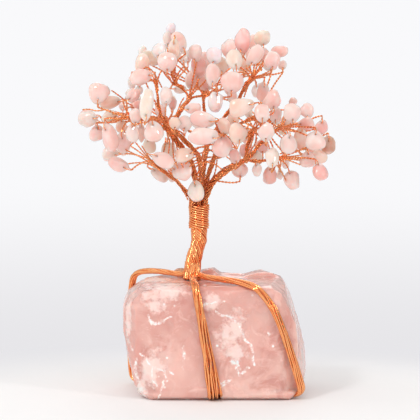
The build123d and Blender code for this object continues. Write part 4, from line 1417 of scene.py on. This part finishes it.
# Loose twisted pairs across the crown: the limb that carries them, and each
# pair's places in the photograph
LOOSE_WIRES = {
    "limb_middle": (
        ((186, 166), (192, 152), (198, 147), (207, 148), (213, 152)),
        ((182, 168), (191, 158), (200, 157), (210, 158), (222, 156)),
        ((186, 172), (192, 161), (202, 160), (212, 156), (220, 158)),
        ((187, 170), (191, 164), (203, 163), (214, 160), (223, 157)),
        ((184, 160), (193, 155), (203, 153), (212, 150), (218, 148)),
        ((190, 176), (195, 166), (206, 162), (216, 164), (222, 170)),
    ),
    "limb_centre": (
        ((206, 190), (213, 178), (216, 170), (217, 160)),
        ((240, 165), (232, 161), (224, 155), (219, 147), (216, 138), (214, 132),
         (217, 127)),
        ((241, 163), (234, 158), (227, 152), (222, 145), (219, 136)),
    ),
    "limb_right": (
        ((247, 160), (251, 150), (255, 145), (257, 138)),
        ((243, 163), (248, 152), (252, 143), (254, 134)),
        ((244, 97), (248, 86), (252, 75), (262, 58)),
        ((244, 92), (247, 85), (262, 75), (270, 72)),
        ((233, 113), (242, 121), (250, 126), (257, 128)),
        ((232, 120), (242, 125), (251, 130), (258, 134)),
        ((285, 124), (278, 126), (270, 130), (262, 138)),
        ((280, 154), (288, 152), (303, 150), (312, 148)),
        ((278, 157), (286, 157), (298, 156), (310, 153)),
        ((278, 160), (288, 160), (296, 159), (303, 158)),
        ((278, 158), (284, 159), (290, 161), (300, 165)),
        ((270, 158), (277, 166), (281, 172), (286, 181)),
    ),
    "limb_left": (
        ((166, 138), (165, 148), (163, 156), (168, 164)),
        ((170, 139), (169, 150), (168, 158), (172, 166)),
        ((173, 141), (173, 152), (175, 163), (180, 172)),
        ((176, 142), (178, 153), (181, 164), (186, 174)),
        ((133, 106), (128, 104), (121, 97), (112, 91)),
        ((112, 114), (117, 115), (127, 116), (134, 124)),
        ((134, 108), (128, 106), (127, 114), (124, 120)),
        ((106, 110), (97, 112), (90, 109), (83, 110)),
        ((143, 72), (145, 68), (150, 69), (156, 76), (162, 88)),
        ((184, 98), (180, 104), (178, 112), (172, 122)),
        ((155, 104), (160, 112), (163, 118), (166, 126)),
    ),
    "limb_low_left": (
        ((170, 172), (176, 178), (182, 186), (189, 192)),
        ((168, 170), (172, 176), (180, 182), (183, 190), (188, 200)),
        ((129, 145), (140, 152), (150, 161), (160, 170)),
        ((126, 150), (139, 156), (150, 163), (161, 171)),
        ((136, 143), (145, 154), (153, 165), (162, 172)),
        ((142, 146), (148, 156), (155, 166), (164, 173)),
        ((128, 164), (140, 162), (152, 165), (162, 171)),
    ),
}
# How thick they are, how far they stand in front, and the bows tried for them
LOOSE_RADIUS = WIRE_RADIUS * 1.85
LOOSE_LIFT = 0.8
LOOSE_SHIFTS = (0, -1.5, 1.5, -3, 3, -4.5, 4.5, -6, 6)


def depth_at(pixels):
    """Give the depth of the limb or chip that lies nearest in the picture."""
    spots = np.concatenate([points for points, _ in limb_runs]
                           + [[chip.middle for chip in chips]])
    spot = place(*pixels, 0)
    up = spots[:, 2] * view_cosine + spots[:, 1] * view_sine - spot[2] * view_cosine
    return spots[np.argmin(np.hypot(spots[:, 0] - spot[0], up)), 1]


def loose_line(pixels):
    """Lay a loose pair from one end to the other, bowed clear of the chips."""
    share = np.linspace(0, 1, len(pixels))
    ends = (depth_at(pixels[0]), depth_at(pixels[-1]))
    depths = np.interp(share, (0, 1), ends) - LOOSE_LIFT
    best = None
    for shift in LOOSE_SHIFTS:
        bow = shift * np.sin(share * math.pi)
        places = [place(x, y, depth) for (x, y), depth in zip(pixels, depths + bow)]
        line, along = curve(places, LIMB_STEP)
        inside = 0
        for chip in chips:
            local = (line - chip.middle) @ chip.axes.T / (chip.half + WIRE_RADIUS * 2)
            inside += int((np.linalg.norm(local, axis=1) < 1).sum())
        if best is None or inside < best[0]:
            best = (inside, line, along)
    return best[1:]


def dress_limbs():
    """Make every limb's bundles, each starting inside the one that carries it."""
    for limb in LIMBS:
        shape = Shape()
        for seed, (name, start, _, points, radius) in enumerate(routes, LIMB_SEED):
            if name != limb:
                continue
            if start == "trunk":
                inside = points[0] - [0, 0, TRUNK_OVERLAP]
            else:
                inside = knots[start] + ways_back[start][0] * LIMB_OVERLAP
            add_bundle(shape, np.concatenate([[inside], points]), radius, seed)
        for pixels in LOOSE_WIRES.get(limb, ()):
            line, along = loose_line(pixels)
            wire(shape, line, LOOSE_RADIUS, PAIR, 2 * math.pi * along / PAIR_PITCH)
        shape.piece(limb, copper, "copper")


# Trunk and wrap

# The trunk's wires, how steep they stand in degrees at shares of its length,
# how much wider they are than their share of its girth, and its core, a dark
# tube of painted shade under the wires
TRUNK_STEP = 0.5
TRUNK_WIRES = 16
RISE_SHARES = (0, 0.25, 0.6, 0.75, 1)
RISES = (74, 62, 44, 34, 30)
CROWDING = 1.04
CORE_DEPTH = 1.3
CORE_PAINTED_SHADE = 0.15
TRUNK_SEED = 5
# How the wires wander: every so many millimetres, and how far round the trunk
# and how far into it, and how they differ in thickness and tone
TRUNK_DRIFT_STEP = 4.0
DRIFT_TURN = 0.07
DRIFT_SINK = 0.18
TRUNK_SINK = 1.05
TRUNK_GIRTHS = (0.92, 1.06)
TRUNK_TONES = (0.5, 0.9)
# Wires that sweep round the trunk's foot into the right root strand: how high
# the first starts, how far round in degrees, how far along the strand it lands,
# and what each next one changes
SWEEP_COUNT = 7
SWEEP_DROP = 10.5
SWEEP_DROP_STEP = 1.25
SWEEP_TURN = 165
SWEEP_TURN_STEP = 12
SWEEP_RUN = 2.0
SWEEP_RUN_STEP = 0.9
SWEEP_TAIL = (0.0, 2.0, 4.0)
SWEEP_POINTS = 7
SWEEP_BEND = 1.6
SWEEP_FOOT = 0.9
SWEEP_LIFT = 0.12
SWEEP_SPACING = 0.25
SWEEP_SINK = 0.25
SWEEP_STEP = 0.45
SWEEP_ROUNDS = 10
SWEEP_SEED = 8
SWEEP_RADIUS = 0.40
SWEEP_GIRTHS = (0.92, 1.08)
SWEEP_TONES = (0.55, 0.9)
# Wires of the wrap, their radius, and how far it reaches past the sleeve
WRAP_WIRES = 6
WRAP_RADIUS = 0.40
WRAP_OVERLAP = 1.2
WRAP_POINTS = 90
WRAP_DRIFT_STEP = 1.2
WRAP_TONES = (0.7, 1.0)


def trunk_line():
    """Give the trunk's centre line and its radius at each point."""
    sleeve_bottom = fork_point[2] - wrap_length - 2 * wrap_thickness
    rows = [(*trunk_foot, FOOT_SHARE)]
    for x, y, girth in TRUNK_PLACES:
        share = (FOOT_PIXEL[1] - y) / (FOOT_PIXEL[1] - FORK_PIXEL[1])
        depth = trunk_foot[1] * (1 - share)
        height = trunk_foot[2] + (sleeve_bottom - trunk_foot[2]) * share * CLIMB_SHARE
        centre = place(x, y, depth)
        rows.append((centre[0], centre[1], height, girth))
    rows.append((*fork_point[:2], sleeve_bottom, 1.0))
    rows.append((*fork_point, 1.0))
    rows = np.array(rows)
    line, along = evenly(rows[:, :3], TRUNK_STEP)
    girths = np.interp(line[:, 2], rows[:, 2], rows[:, 3])
    return line, along, girths * trunk_radius


def sweep_to_root(shape, line, radii):
    """Lead the trunk's front wires round its foot into the right root strand."""
    route, out = strands["root_strand_right"]
    run, along = curve(route, TRUNK_STEP)
    heading = math.atan2(out[1], out[0])
    random = np.random.default_rng(SWEEP_SEED)
    for index in range(SWEEP_COUNT):
        points = []
        drop = SWEEP_DROP - SWEEP_DROP_STEP * index
        turn = math.radians(SWEEP_TURN - SWEEP_TURN_STEP * index)
        for share in np.linspace(0, 1, SWEEP_POINTS):
            height = line[0, 2] + SWEEP_FOOT + drop * (1 - share)**SWEEP_BEND
            x, y, radius = [np.interp(height, line[:, 2], row)
                            for row in (line[:, 0], line[:, 1], radii)]
            angle = heading - turn * (1 - share)
            reach = radius + SWEEP_LIFT
            points.append([x + reach * math.cos(angle), y + reach * math.sin(angle),
                           height])
        far = SWEEP_RUN + SWEEP_RUN_STEP * index
        for further in SWEEP_TAIL:
            spot = [np.interp(far + further, along, row) for row in run.T]
            lift = root_thickness / 2 - SWEEP_SINK - SWEEP_SINK * further
            aside = -SWEEP_SPACING * (SWEEP_COUNT // 2 - index)
            points.append(np.add(spot, [0, aside, lift]))
        sweep = relaxed(curve(points, SWEEP_STEP)[0], SWEEP_ROUNDS)
        wire(shape, sweep, SWEEP_RADIUS * random.uniform(*SWEEP_GIRTHS), ROUND,
             shade=random.uniform(*SWEEP_TONES))


def dress_trunk(random):
    """Wind the trunk in wires that grow steeper towards the stone."""
    line, along, radii = trunk_line()
    rise = np.radians(np.interp(along / along[-1], RISE_SHARES, RISES))
    girths = math.pi * radii * np.sin(rise) / TRUNK_WIRES * CROWDING
    turn = -np.cumsum(np.gradient(along) / np.tan(rise) / radii)
    shape = Shape()
    # A dark core of painted shade shows between the wires
    wire(shape, line, radii - girths * CORE_DEPTH, CORE, shade=CORE_PAINTED_SHADE)
    for index in range(TRUNK_WIRES):
        wander = wandering(along, TRUNK_DRIFT_STEP, 6, random)
        angle = turn + 2 * math.pi * index / TRUNK_WIRES + DRIFT_TURN * wander
        depth = girths * (TRUNK_SINK - DRIFT_SINK * wander)
        strand = offset_line(line, radii - depth, angle)
        wire(shape, strand, girths * random.uniform(*TRUNK_GIRTHS), ROUND,
             shade=random.uniform(*TRUNK_TONES))
    sweep_to_root(shape, line, radii)
    shape.piece("trunk_core", copper, "copper")


def dress_wrap(random):
    """Wind the wrap round the trunk's top, bulging and wandering a little."""
    shape = Shape()
    height = wrap_length + WRAP_OVERLAP
    radius = trunk_radius + wrap_gap + wrap_thickness / 2 - 0.05
    last_turn = height / (wrap_pitch * WRAP_WIRES) * 2 * math.pi
    turns = np.linspace(0, last_turn, WRAP_POINTS)
    level = height * turns / turns[-1]
    bulge = 1 + 0.035 * np.sin(level * 0.9 + 1.0) - 0.05 * np.exp(-level / 0.8)
    for index in range(WRAP_WIRES):
        wander = wandering(turns, WRAP_DRIFT_STEP, 3, random)
        angle = -turns + 2 * math.pi * index / WRAP_WIRES
        reach = radius * bulge + 0.07 * wander
        helix = np.column_stack([
            fork_point[0] + reach * np.cos(angle),
            fork_point[1] + reach * np.sin(angle),
            fork_point[2] - height + level + 0.10 * wander,
        ])
        wire(shape, helix, WRAP_RADIUS, ROUND, shade=random.uniform(*WRAP_TONES))
    shape.piece("trunk_wrap", copper, "copper")


# Layout of the stone's faces and of the root strands

half_width = stone_width / 2
half_depth = stone_depth / 2


def outline_planes(shares, across, up, across_size, up_size):
    """List the faces of a convex outline as a normal and its reach."""
    corners = [across * a * across_size + up * b * up_size for a, b in shares]
    out_of_page = np.cross(across, up)
    faces = []
    for start, end in zip(corners, corners[1:] + corners[:1]):
        normal = unit(np.cross(end - start, out_of_page))
        faces.append((normal, normal @ start))
    middle = sum(corners) / len(corners)
    return [(n, r) if n @ middle < r else (-n, -r) for n, r in faces]


def stone_faces():
    """List every flat face of the stone's main block."""
    x, y, z = np.eye(3)
    faces = outline_planes(FRONT_SHARES, x, z, half_width, stone_height)
    faces += outline_planes(SIDE_SHARES, y, z, half_depth, stone_height)
    faces += outline_planes(PLAN_SHARES, x, y, half_width, half_depth)
    middle = np.array([0, 0, stone_height / 2])
    half = np.array([half_width, half_depth, stone_height / 2])
    for *direction, share in FACET_SHARES:
        normal = unit(np.array(direction))
        corner = middle + half * np.sign(normal)
        faces.append((normal, normal @ middle + normal @ (corner - middle) * share))
    return faces


def strand_plane(strand):
    """Give the origin and the two directions of a root strand's plane."""
    heading, lean = ROOTS[strand]
    turn = math.radians(heading)
    out = np.array([math.cos(turn), math.sin(turn), 0])
    tip = math.radians(lean)
    sideways = np.array([-out[1], out[0], 0])
    down = sideways * math.sin(tip) - np.array([0, 0, 1]) * math.cos(tip)
    return trunk_foot, out, down


def strand_corners(strand, faces):
    """Route a strand over the stone's edge, down its side and under it."""
    origin, out, down = strand_plane(strand)
    channel = root_thickness + root_gap
    faces = faces + [(np.array([0, 0, -1.0]), -channel)]
    reach = stone_width + stone_depth
    corners = [(-reach, -reach), (reach, -reach), (reach, reach), (-reach, reach)]
    sideways = np.cross(out, down)
    for normal, distance in faces:
        slope = np.array([normal @ out, normal @ down])
        size = np.linalg.norm(slope)
        if size < EDGE_ON_SHARE:
            continue
        reach = math.hypot(root_thickness * size, root_width * (normal @ sideways)) / 2
        limit = distance - normal @ origin + reach + root_gap
        clipped = []
        for start, end in zip(corners, corners[1:] + corners[:1]):
            first = np.dot(slope, start) - limit
            second = np.dot(slope, end) - limit
            if first <= 0:
                clipped.append(start)
            if first * second < 0:
                share = first / (first - second)
                clipped.append(tuple(np.add(start, np.subtract(end, start) * share)))
        corners = clipped
    return corners, out, down, origin


def strand_route(strand, faces):
    """List a strand's points from beside the trunk to its end underneath."""
    corners, out, down, origin = strand_corners(strand, faces)
    top = min(point[1] for point in corners)
    bottom = max(point[1] for point in corners)
    start_out = trunk_radius * FOOT_SHARE + root_gap
    side = [p for p in corners if p[0] > start_out]
    side.sort(key=lambda p: math.atan2(p[1] - (top + bottom) / 2, p[0]))
    under = [p for p in side if p[1] > bottom - root_gap]
    side = [p for p in side if p not in under]
    rim = min(under, key=lambda p: -p[0])
    route = [(start_out, top)]
    for point in side + [rim, (rim[0] - root_tuck, bottom)]:
        step = np.subtract(point, route[-1])
        if np.linalg.norm(step) > root_thickness * SHORTEST_RUN_SHARE:
            route.append(point)
    return np.array([origin + out * a + down * b for a, b in route]), out


# Root strands

# How far the wires part at the bottom, and the length in which they turn once
# about each other at the top and at the bottom
ROOT_SPREADS = {
    "root_strand_front": (2.1, 14.0, 140.0),
    "root_strand_right": (1.25, 60.0, 120.0),
    "root_strand_left": (1.0, 40.0, 90.0),
    "root_strand_back": (1.1, 60.0, 120.0),
}
# Wires round a strand and inside it, each ring with its share of the radius
ROOT_RINGS = ((9, 1.0), (3, 0.35))
ROOT_RADIUS = 0.37
ROOT_STEP = 0.45
ROOT_ROUNDS = 12
ROOT_DRIFT_STEP = 6.0
ROOT_SEED = 300
ROOT_GIRTHS = (0.9, 1.1)
ROOT_TONES = (0.75, 1.1)
# Where a strand rises inside the trunk's foot: the share of its radius, and
# heights with the steps outwards
ROOT_FOOT_SHARE = 0.66
ROOT_RISE = ((6.5, 0.0), (2.6, 0.3))
# Shares of its length at which it opens to shares of its width, and between
# which its turn slackens
OPEN_PLACES = (0, 0.2, 0.45, 1)
OPEN_SHARES = (0.5, 0.78, 1.0)
SLACK_PLACES = (0.25, 0.5)


def add_root(shape, name, seed):
    """Add a root strand: straight wires, parting lower down."""
    random = np.random.default_rng(seed)
    spread, tight, loose = ROOT_SPREADS[name]
    route, out = strands[name]
    _, _, down = strand_plane(name)
    sideways = np.cross(out, down)
    foot = trunk_foot + out * trunk_radius * ROOT_FOOT_SHARE
    rise = [foot + [0, 0, height] + out * step for height, step in ROOT_RISE]
    line, along = curve(np.concatenate([rise, route]), ROOT_STEP)
    line = relaxed(line, ROOT_ROUNDS)
    ways = np.gradient(line, axis=0)
    ways /= np.linalg.norm(ways, axis=1)[:, None]
    outward = np.cross(ways, sideways)
    share = along / along[-1]
    opened = np.interp(share, OPEN_PLACES, (*OPEN_SHARES, spread))
    lay = np.interp(share, SLACK_PLACES, (tight, loose))
    turn = np.cumsum(np.gradient(along) / lay) * 2 * math.pi
    for count, ring_share in ROOT_RINGS:
        wide = (root_width / 2 - ROOT_RADIUS) * opened * ring_share
        thick = (root_thickness / 2 - ROOT_RADIUS) * ring_share
        for index in range(count):
            wander = wandering(along, ROOT_DRIFT_STEP, 8, random)
            start = 2 * math.pi * (index + 0.5 * ring_share) / count
            angle = turn + start + 0.3 * wander
            strand = (
                line
                + sideways * (np.cos(angle) * wide)[:, None]
                + outward * (np.sin(angle) * thick)[:, None]
            )
            # Painted shade: the wires inside the strand are darker
            wire(shape, strand, ROOT_RADIUS * random.uniform(*ROOT_GIRTHS), PLAIN,
                 shade=random.uniform(*ROOT_TONES) * (0.5 + 0.5 * ring_share))


def dress_roots():
    """Make every root strand."""
    for seed, name in enumerate(ROOTS, ROOT_SEED):
        shape = Shape()
        add_root(shape, name, seed)
        shape.piece(name, copper, "copper")


# Stone

# Shells broken out of the front: the pixel of the middle, the radius in pixels
# and how deep the shell goes in millimetres
SHELLS = (
    (226, 334, 26, 1.3), (168, 298, 25, 1.1), (262, 330, 22, 0.9),
    (246, 298, 20, 0.9), (186, 342, 18, 0.6), (158, 340, 18, 0.5),
    (236, 352, 14, 0.7), (160, 372, 14, 0.6),
)
SHELL_RIPPLE = 0.03
# Corners cleaved off anywhere, by how many millimetres
CLEAVING_COUNT = 60
CLEAVING_DEPTHS = (0.4, 2.0)
# Random breaks: their radii, their depths as shares of these, and how much
# smaller they are near the front and the top
BREAK_COUNT = 170
BREAK_RADII = (1.2, 5.5)
BREAK_DEPTHS = (0.06, 0.13)
BREAK_RIPPLE = 0.02
SMALL_BREAK = 0.45
SMALL_DEPTH_SHARE = 0.6
SMALL_HEIGHT_SHARE = 0.8
# Ripples of a break, in radians a millimetre
RIPPLE_PACE = 2.4
# Frosted zones on the front: the pixel of the middle, two radii and a turn
FROSTS = (
    (164, 293, 24, 11, 8), (157, 306, 12, 8, -20), (150, 372, 11, 24, -14),
    (157, 365, 9, 10, 0), (231, 330, 14, 20, -24), (236, 352, 12, 9, 20),
    (212, 302, 9, 9, 0), (128, 322, 3, 22, 0), (150, 283, 12, 5, 20),
    (262, 280, 20, 5, 0), (140, 388, 7, 8, 0),
)
# Random frosted zones behind the front: where the front ends, as a share of
# the stone's half depth, how many are tried, and their radii
FRONT_SHARE = 0.45
FROST_COUNT = 26
FROST_RADII = (2, 7)
# How frosted a zone's middle is, in front and elsewhere, and what it loses to
# its edge
FRONT_FROST = 1.35
OTHER_FROST = 1.3
FROST_LOSS = 0.9
# Blocks in metres that the stone is remeshed in, and its roughness
VOXEL_SIZE = 0.0006
ROUGH_SIZE = 3.5
ROUGH_DEPTH = 0.14
STONE_SEED = 31


def break_shell(points, spot, out, rim, deep, ripple):
    """Press a round hollow into the surface, rippled as quartz breaks."""
    radius = (rim**2 + deep**2) / (2 * deep)
    centre = spot + out * (radius - deep)
    away = points - centre
    distance = np.linalg.norm(away, axis=1)
    inside = distance < radius
    away, distance = away[inside], distance[inside]
    waves = ripple * np.sin((radius - distance) * RIPPLE_PACE)
    points[inside] = centre + away * ((radius + waves) / distance)[:, None]


def broken(points, normals, random):
    """Cleave corners off and break shells out of the block."""
    block = points.copy()
    for _ in range(CLEAVING_COUNT):
        way = unit(random.normal(size=3) + (0, 0, 0.5))
        level = (block @ way).max() - random.uniform(*CLEAVING_DEPTHS)
        points -= way * np.maximum(points @ way - level, 0)[:, None]
    for x, y, wide, deep in SHELLS:
        spot = place(x, y, -half_depth)
        nearest = np.argmin(np.abs(points - spot).sum(axis=1))
        out = unit(normals[nearest] * 0.3 + (0, -0.7, 0.1))
        break_shell(points, points[nearest], out, wide * pixel, deep, SHELL_RIPPLE)
    for index in random.choice(len(points), BREAK_COUNT, replace=False):
        rim = random.uniform(*BREAK_RADII)
        _, depth, height = points[index]
        near_front = depth < -half_depth * SMALL_DEPTH_SHARE
        if near_front or height > stone_height * SMALL_HEIGHT_SHARE:
            rim *= SMALL_BREAK
        deep = rim * random.uniform(*BREAK_DEPTHS)
        break_shell(points, points[index], normals[index], rim, deep, BREAK_RIPPLE)
    return points


def frosting(points, random):
    """Say how frosted each point is: as listed in front, at random elsewhere."""
    front = -half_depth * FRONT_SHARE
    frost = np.zeros(len(points))
    for x, y, wide, high, turn in FROSTS:
        spot = place(x, y, -half_depth)
        a = (points[:, 0] - spot[0]) / pixel
        b = (points[:, 2] - spot[2]) / pixel
        turn = math.radians(turn)
        across = (a * math.cos(turn) + b * math.sin(turn)) / wide
        up = (b * math.cos(turn) - a * math.sin(turn)) / high
        frost = np.maximum(frost, FRONT_FROST - np.hypot(across, up) * FROST_LOSS)
    frost[points[:, 1] > front] = 0
    for index in random.choice(len(points), FROST_COUNT, replace=False):
        if points[index, 1] >= front:
            distance = np.linalg.norm(points - points[index], axis=1)
            reach = random.uniform(*FROST_RADII)
            frost = np.maximum(frost, OTHER_FROST - distance / reach * FROST_LOSS)
    return np.clip(frost, 0, 1)


def fused_block():
    """Remesh a copy of the part's own block evenly, in the frame."""
    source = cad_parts["base_stone"]
    block = placed("block", source.data.copy())
    block.matrix_world = source.matrix_world
    fusing = block.modifiers.new("remesh", "REMESH")
    fusing.mode = "VOXEL"
    fusing.voxel_size = VOXEL_SIZE
    graph = bpy.context.evaluated_depsgraph_get()
    mesh = bpy.data.meshes.new_from_object(block.evaluated_get(graph))
    mesh.transform(block.matrix_world)
    bpy.data.objects.remove(block)
    return mesh


def read_rows(vertices, name):
    """Read a value of three numbers from every vertex."""
    rows = np.empty(len(vertices) * 3, dtype=np.float32)
    vertices.foreach_get(name, rows)
    return rows.reshape(-1, 3).astype(float)


def dress_stone():
    """Break and roughen a copy of the block."""
    mesh = fused_block()
    points = read_rows(mesh.vertices, "co") / MM
    normals = read_rows(mesh.vertices, "normal")
    random = np.random.default_rng(STONE_SEED)
    foot = points[:, 2] < root_thickness + 2 * root_gap
    shaped = broken(points.copy(), normals, random)
    rough = np.array([
        noise.fractal(Vector(point) / ROUGH_SIZE, 0.9, 2.1, 4) for point in points
    ])
    shaped -= normals * (ROUGH_DEPTH * (1 + rough))[:, None]
    shaped[foot] = points[foot]
    mesh.vertices.foreach_set("co", (shaped * MM).astype(np.float32).ravel())
    tones = np.repeat(frosting(points, random), 4)
    dress(mesh, "base_stone", tones, rock)


# Lay everything out and dress it

routes = limb_routes()
limb_runs = [
    (sampled(points, sample_step), radius) for _, _, _, points, radius in routes
]
knot_zones = [(centre[None], knot_radius + stem_lead) for centre in knots.values()]
chips = settled_chips(limb_runs + knot_zones)
twigs = routed_twigs(chips, routes, limb_runs)
faces = stone_faces()
strands = {name: strand_route(name, faces) for name in ROOTS}

# For each knot, the way back along the limb that ends in it, and its radius
ways_back = {
    end: (unit(points[-2] - points[-1]), radius) for _, _, end, points, radius in routes
}
for knot in knots:
    fan = Shape()
    wires = Shape()
    members = [chip for chip in chips if chip.knot == knot]
    for number, chip in enumerate(members):
        add_chip(fan, chip, chip_tone(chip, number))
        add_twig(wires, chip, twigs[chip.number])
    fan.piece("chips_" + knot, quartz, "chips")
    wires.piece("twigs_" + knot, copper, "copper")
dress_limbs()
winding = np.random.default_rng(TRUNK_SEED)
dress_trunk(winding)
dress_wrap(winding)
dress_roots()
dress_stone()


# Floor and lights

# Half the floor's side, its middle, the distances in metres over which the
# plain backdrop takes its place and those over which its painted shade, grey
# near the object, grows paler
FLOOR_REACH = 4.0
FLOOR_MIDDLE = (0, -0.06, 0)
BACKDROP_RANGE = (0.10, 0.17)
BACKDROP_SHADE_FADE = (0.15, 0.62)
BACKDROP_SHADED = rgb(231, 230, 233)
BACKDROP_FAR = rgb(249, 249, 251)
FLOOR_TONES = ((0.86, 0.865, 0.87, 1), (0.89, 0.895, 0.90, 1))
# The room: where it is bright, over which range, and the colour and the
# strengths of its light and of what is seen of it
ROOM_WAY = (-0.45, -0.55, 0.70)
ROOM_RANGE = (-0.25, 0.75)
ROOM_LIGHT = ((1.0, 0.985, 0.97, 1.0), 0.33, 1.04)
ROOM_SEEN = (rgb(251, 251, 252), 0.55, 1.0)
# Lamps: name, place, width, height and power
LAMP_TARGET = (0, 0, 0.07)
LAMPS = (
    ("key", (-0.42, -0.60, 0.66), 0.13, 0.13, 2.0),
    ("fill", (0.6, -0.5, 0.35), 0.08, 0.2, 1.0),
    ("rim", (0.1, 0.6, 0.5), 0.5, 0.3, 1.0),
)


def add_floor():
    """Lay a pale table under the object, with a plain backdrop round it, greyed by painted
    shade.
    """
    mesh = bpy.data.meshes.new("floor")
    corners = [(x * FLOOR_REACH, y * FLOOR_REACH, 0)
               for x, y in ((-1, -1), (1, -1), (1, 1), (-1, 1))]
    mesh.from_pydata(corners, [], [(0, 1, 2, 3)])
    paint = Paint("floor")
    colour = paint.mix(paint.noise(30, 3), *FLOOR_TONES)
    paint.finish(Base_Color=colour, Roughness=0.8, Specular_IOR_Level=0.1)
    distance = paint.vector("DISTANCE", paint.place, FLOOR_MIDDLE)
    away = paint.join(paint.steps(distance, *BACKDROP_RANGE), paint.plainly_seen(),
                      "MULTIPLY")
    # Painted shade: the backdrop is grey near the object and paler further off
    shade_fading = paint.steps(distance, *BACKDROP_SHADE_FADE)
    sweep = paint.mix(shade_fading, BACKDROP_SHADED, BACKDROP_FAR)
    plain = paint.add("ShaderNodeEmission", {"Color": sweep}).outputs[0]
    blend = paint.add("ShaderNodeMixShader",
                      {0: away, 1: paint.shader.outputs[0], 2: plain}).outputs[0]
    paint.put(paint.tree.nodes["Material Output"].inputs["Surface"], blend)
    mesh.materials.append(paint.material)
    floor = placed("floor", mesh)


def add_lamp(name, spot, width, height, power):
    """Hang a soft box that faces the object."""
    data = bpy.data.lights.new(name, "AREA")
    data.shape = "RECTANGLE"
    data.size = width
    data.size_y = height
    data.energy = power
    stand(placed(name, data), spot, Vector(spot) - Vector(LAMP_TARGET))


def light_world():
    """Surround the object with a pale room, plain white where the camera sees it."""
    world = bpy.data.worlds.new("room")
    world.use_nodes = True
    bpy.context.scene.world = world
    room = Nodes(world.node_tree)
    room.tree.nodes.clear()
    way = room.add("ShaderNodeTexCoord").outputs["Generated"]
    side = room.vector("DOT_PRODUCT", way, Vector(ROOM_WAY).normalized())
    mix = room.add("ShaderNodeMixShader", {0: room.plainly_seen()})
    for socket, (colour, darkest, brightest) in enumerate((ROOM_LIGHT, ROOM_SEEN), 1):
        strength = room.steps(side, *ROOM_RANGE, darkest, brightest)
        inputs = {"Color": colour, "Strength": strength}
        light = room.add("ShaderNodeBackground", inputs)
        room.put(mix.inputs[socket], light.outputs[0])
    room.add("ShaderNodeOutputWorld", {0: mix.outputs[0]})


add_floor()
light_world()
for lamp in LAMPS:
    add_lamp(*lamp)
bpy.context.scene.view_settings.view_transform = "Standard"
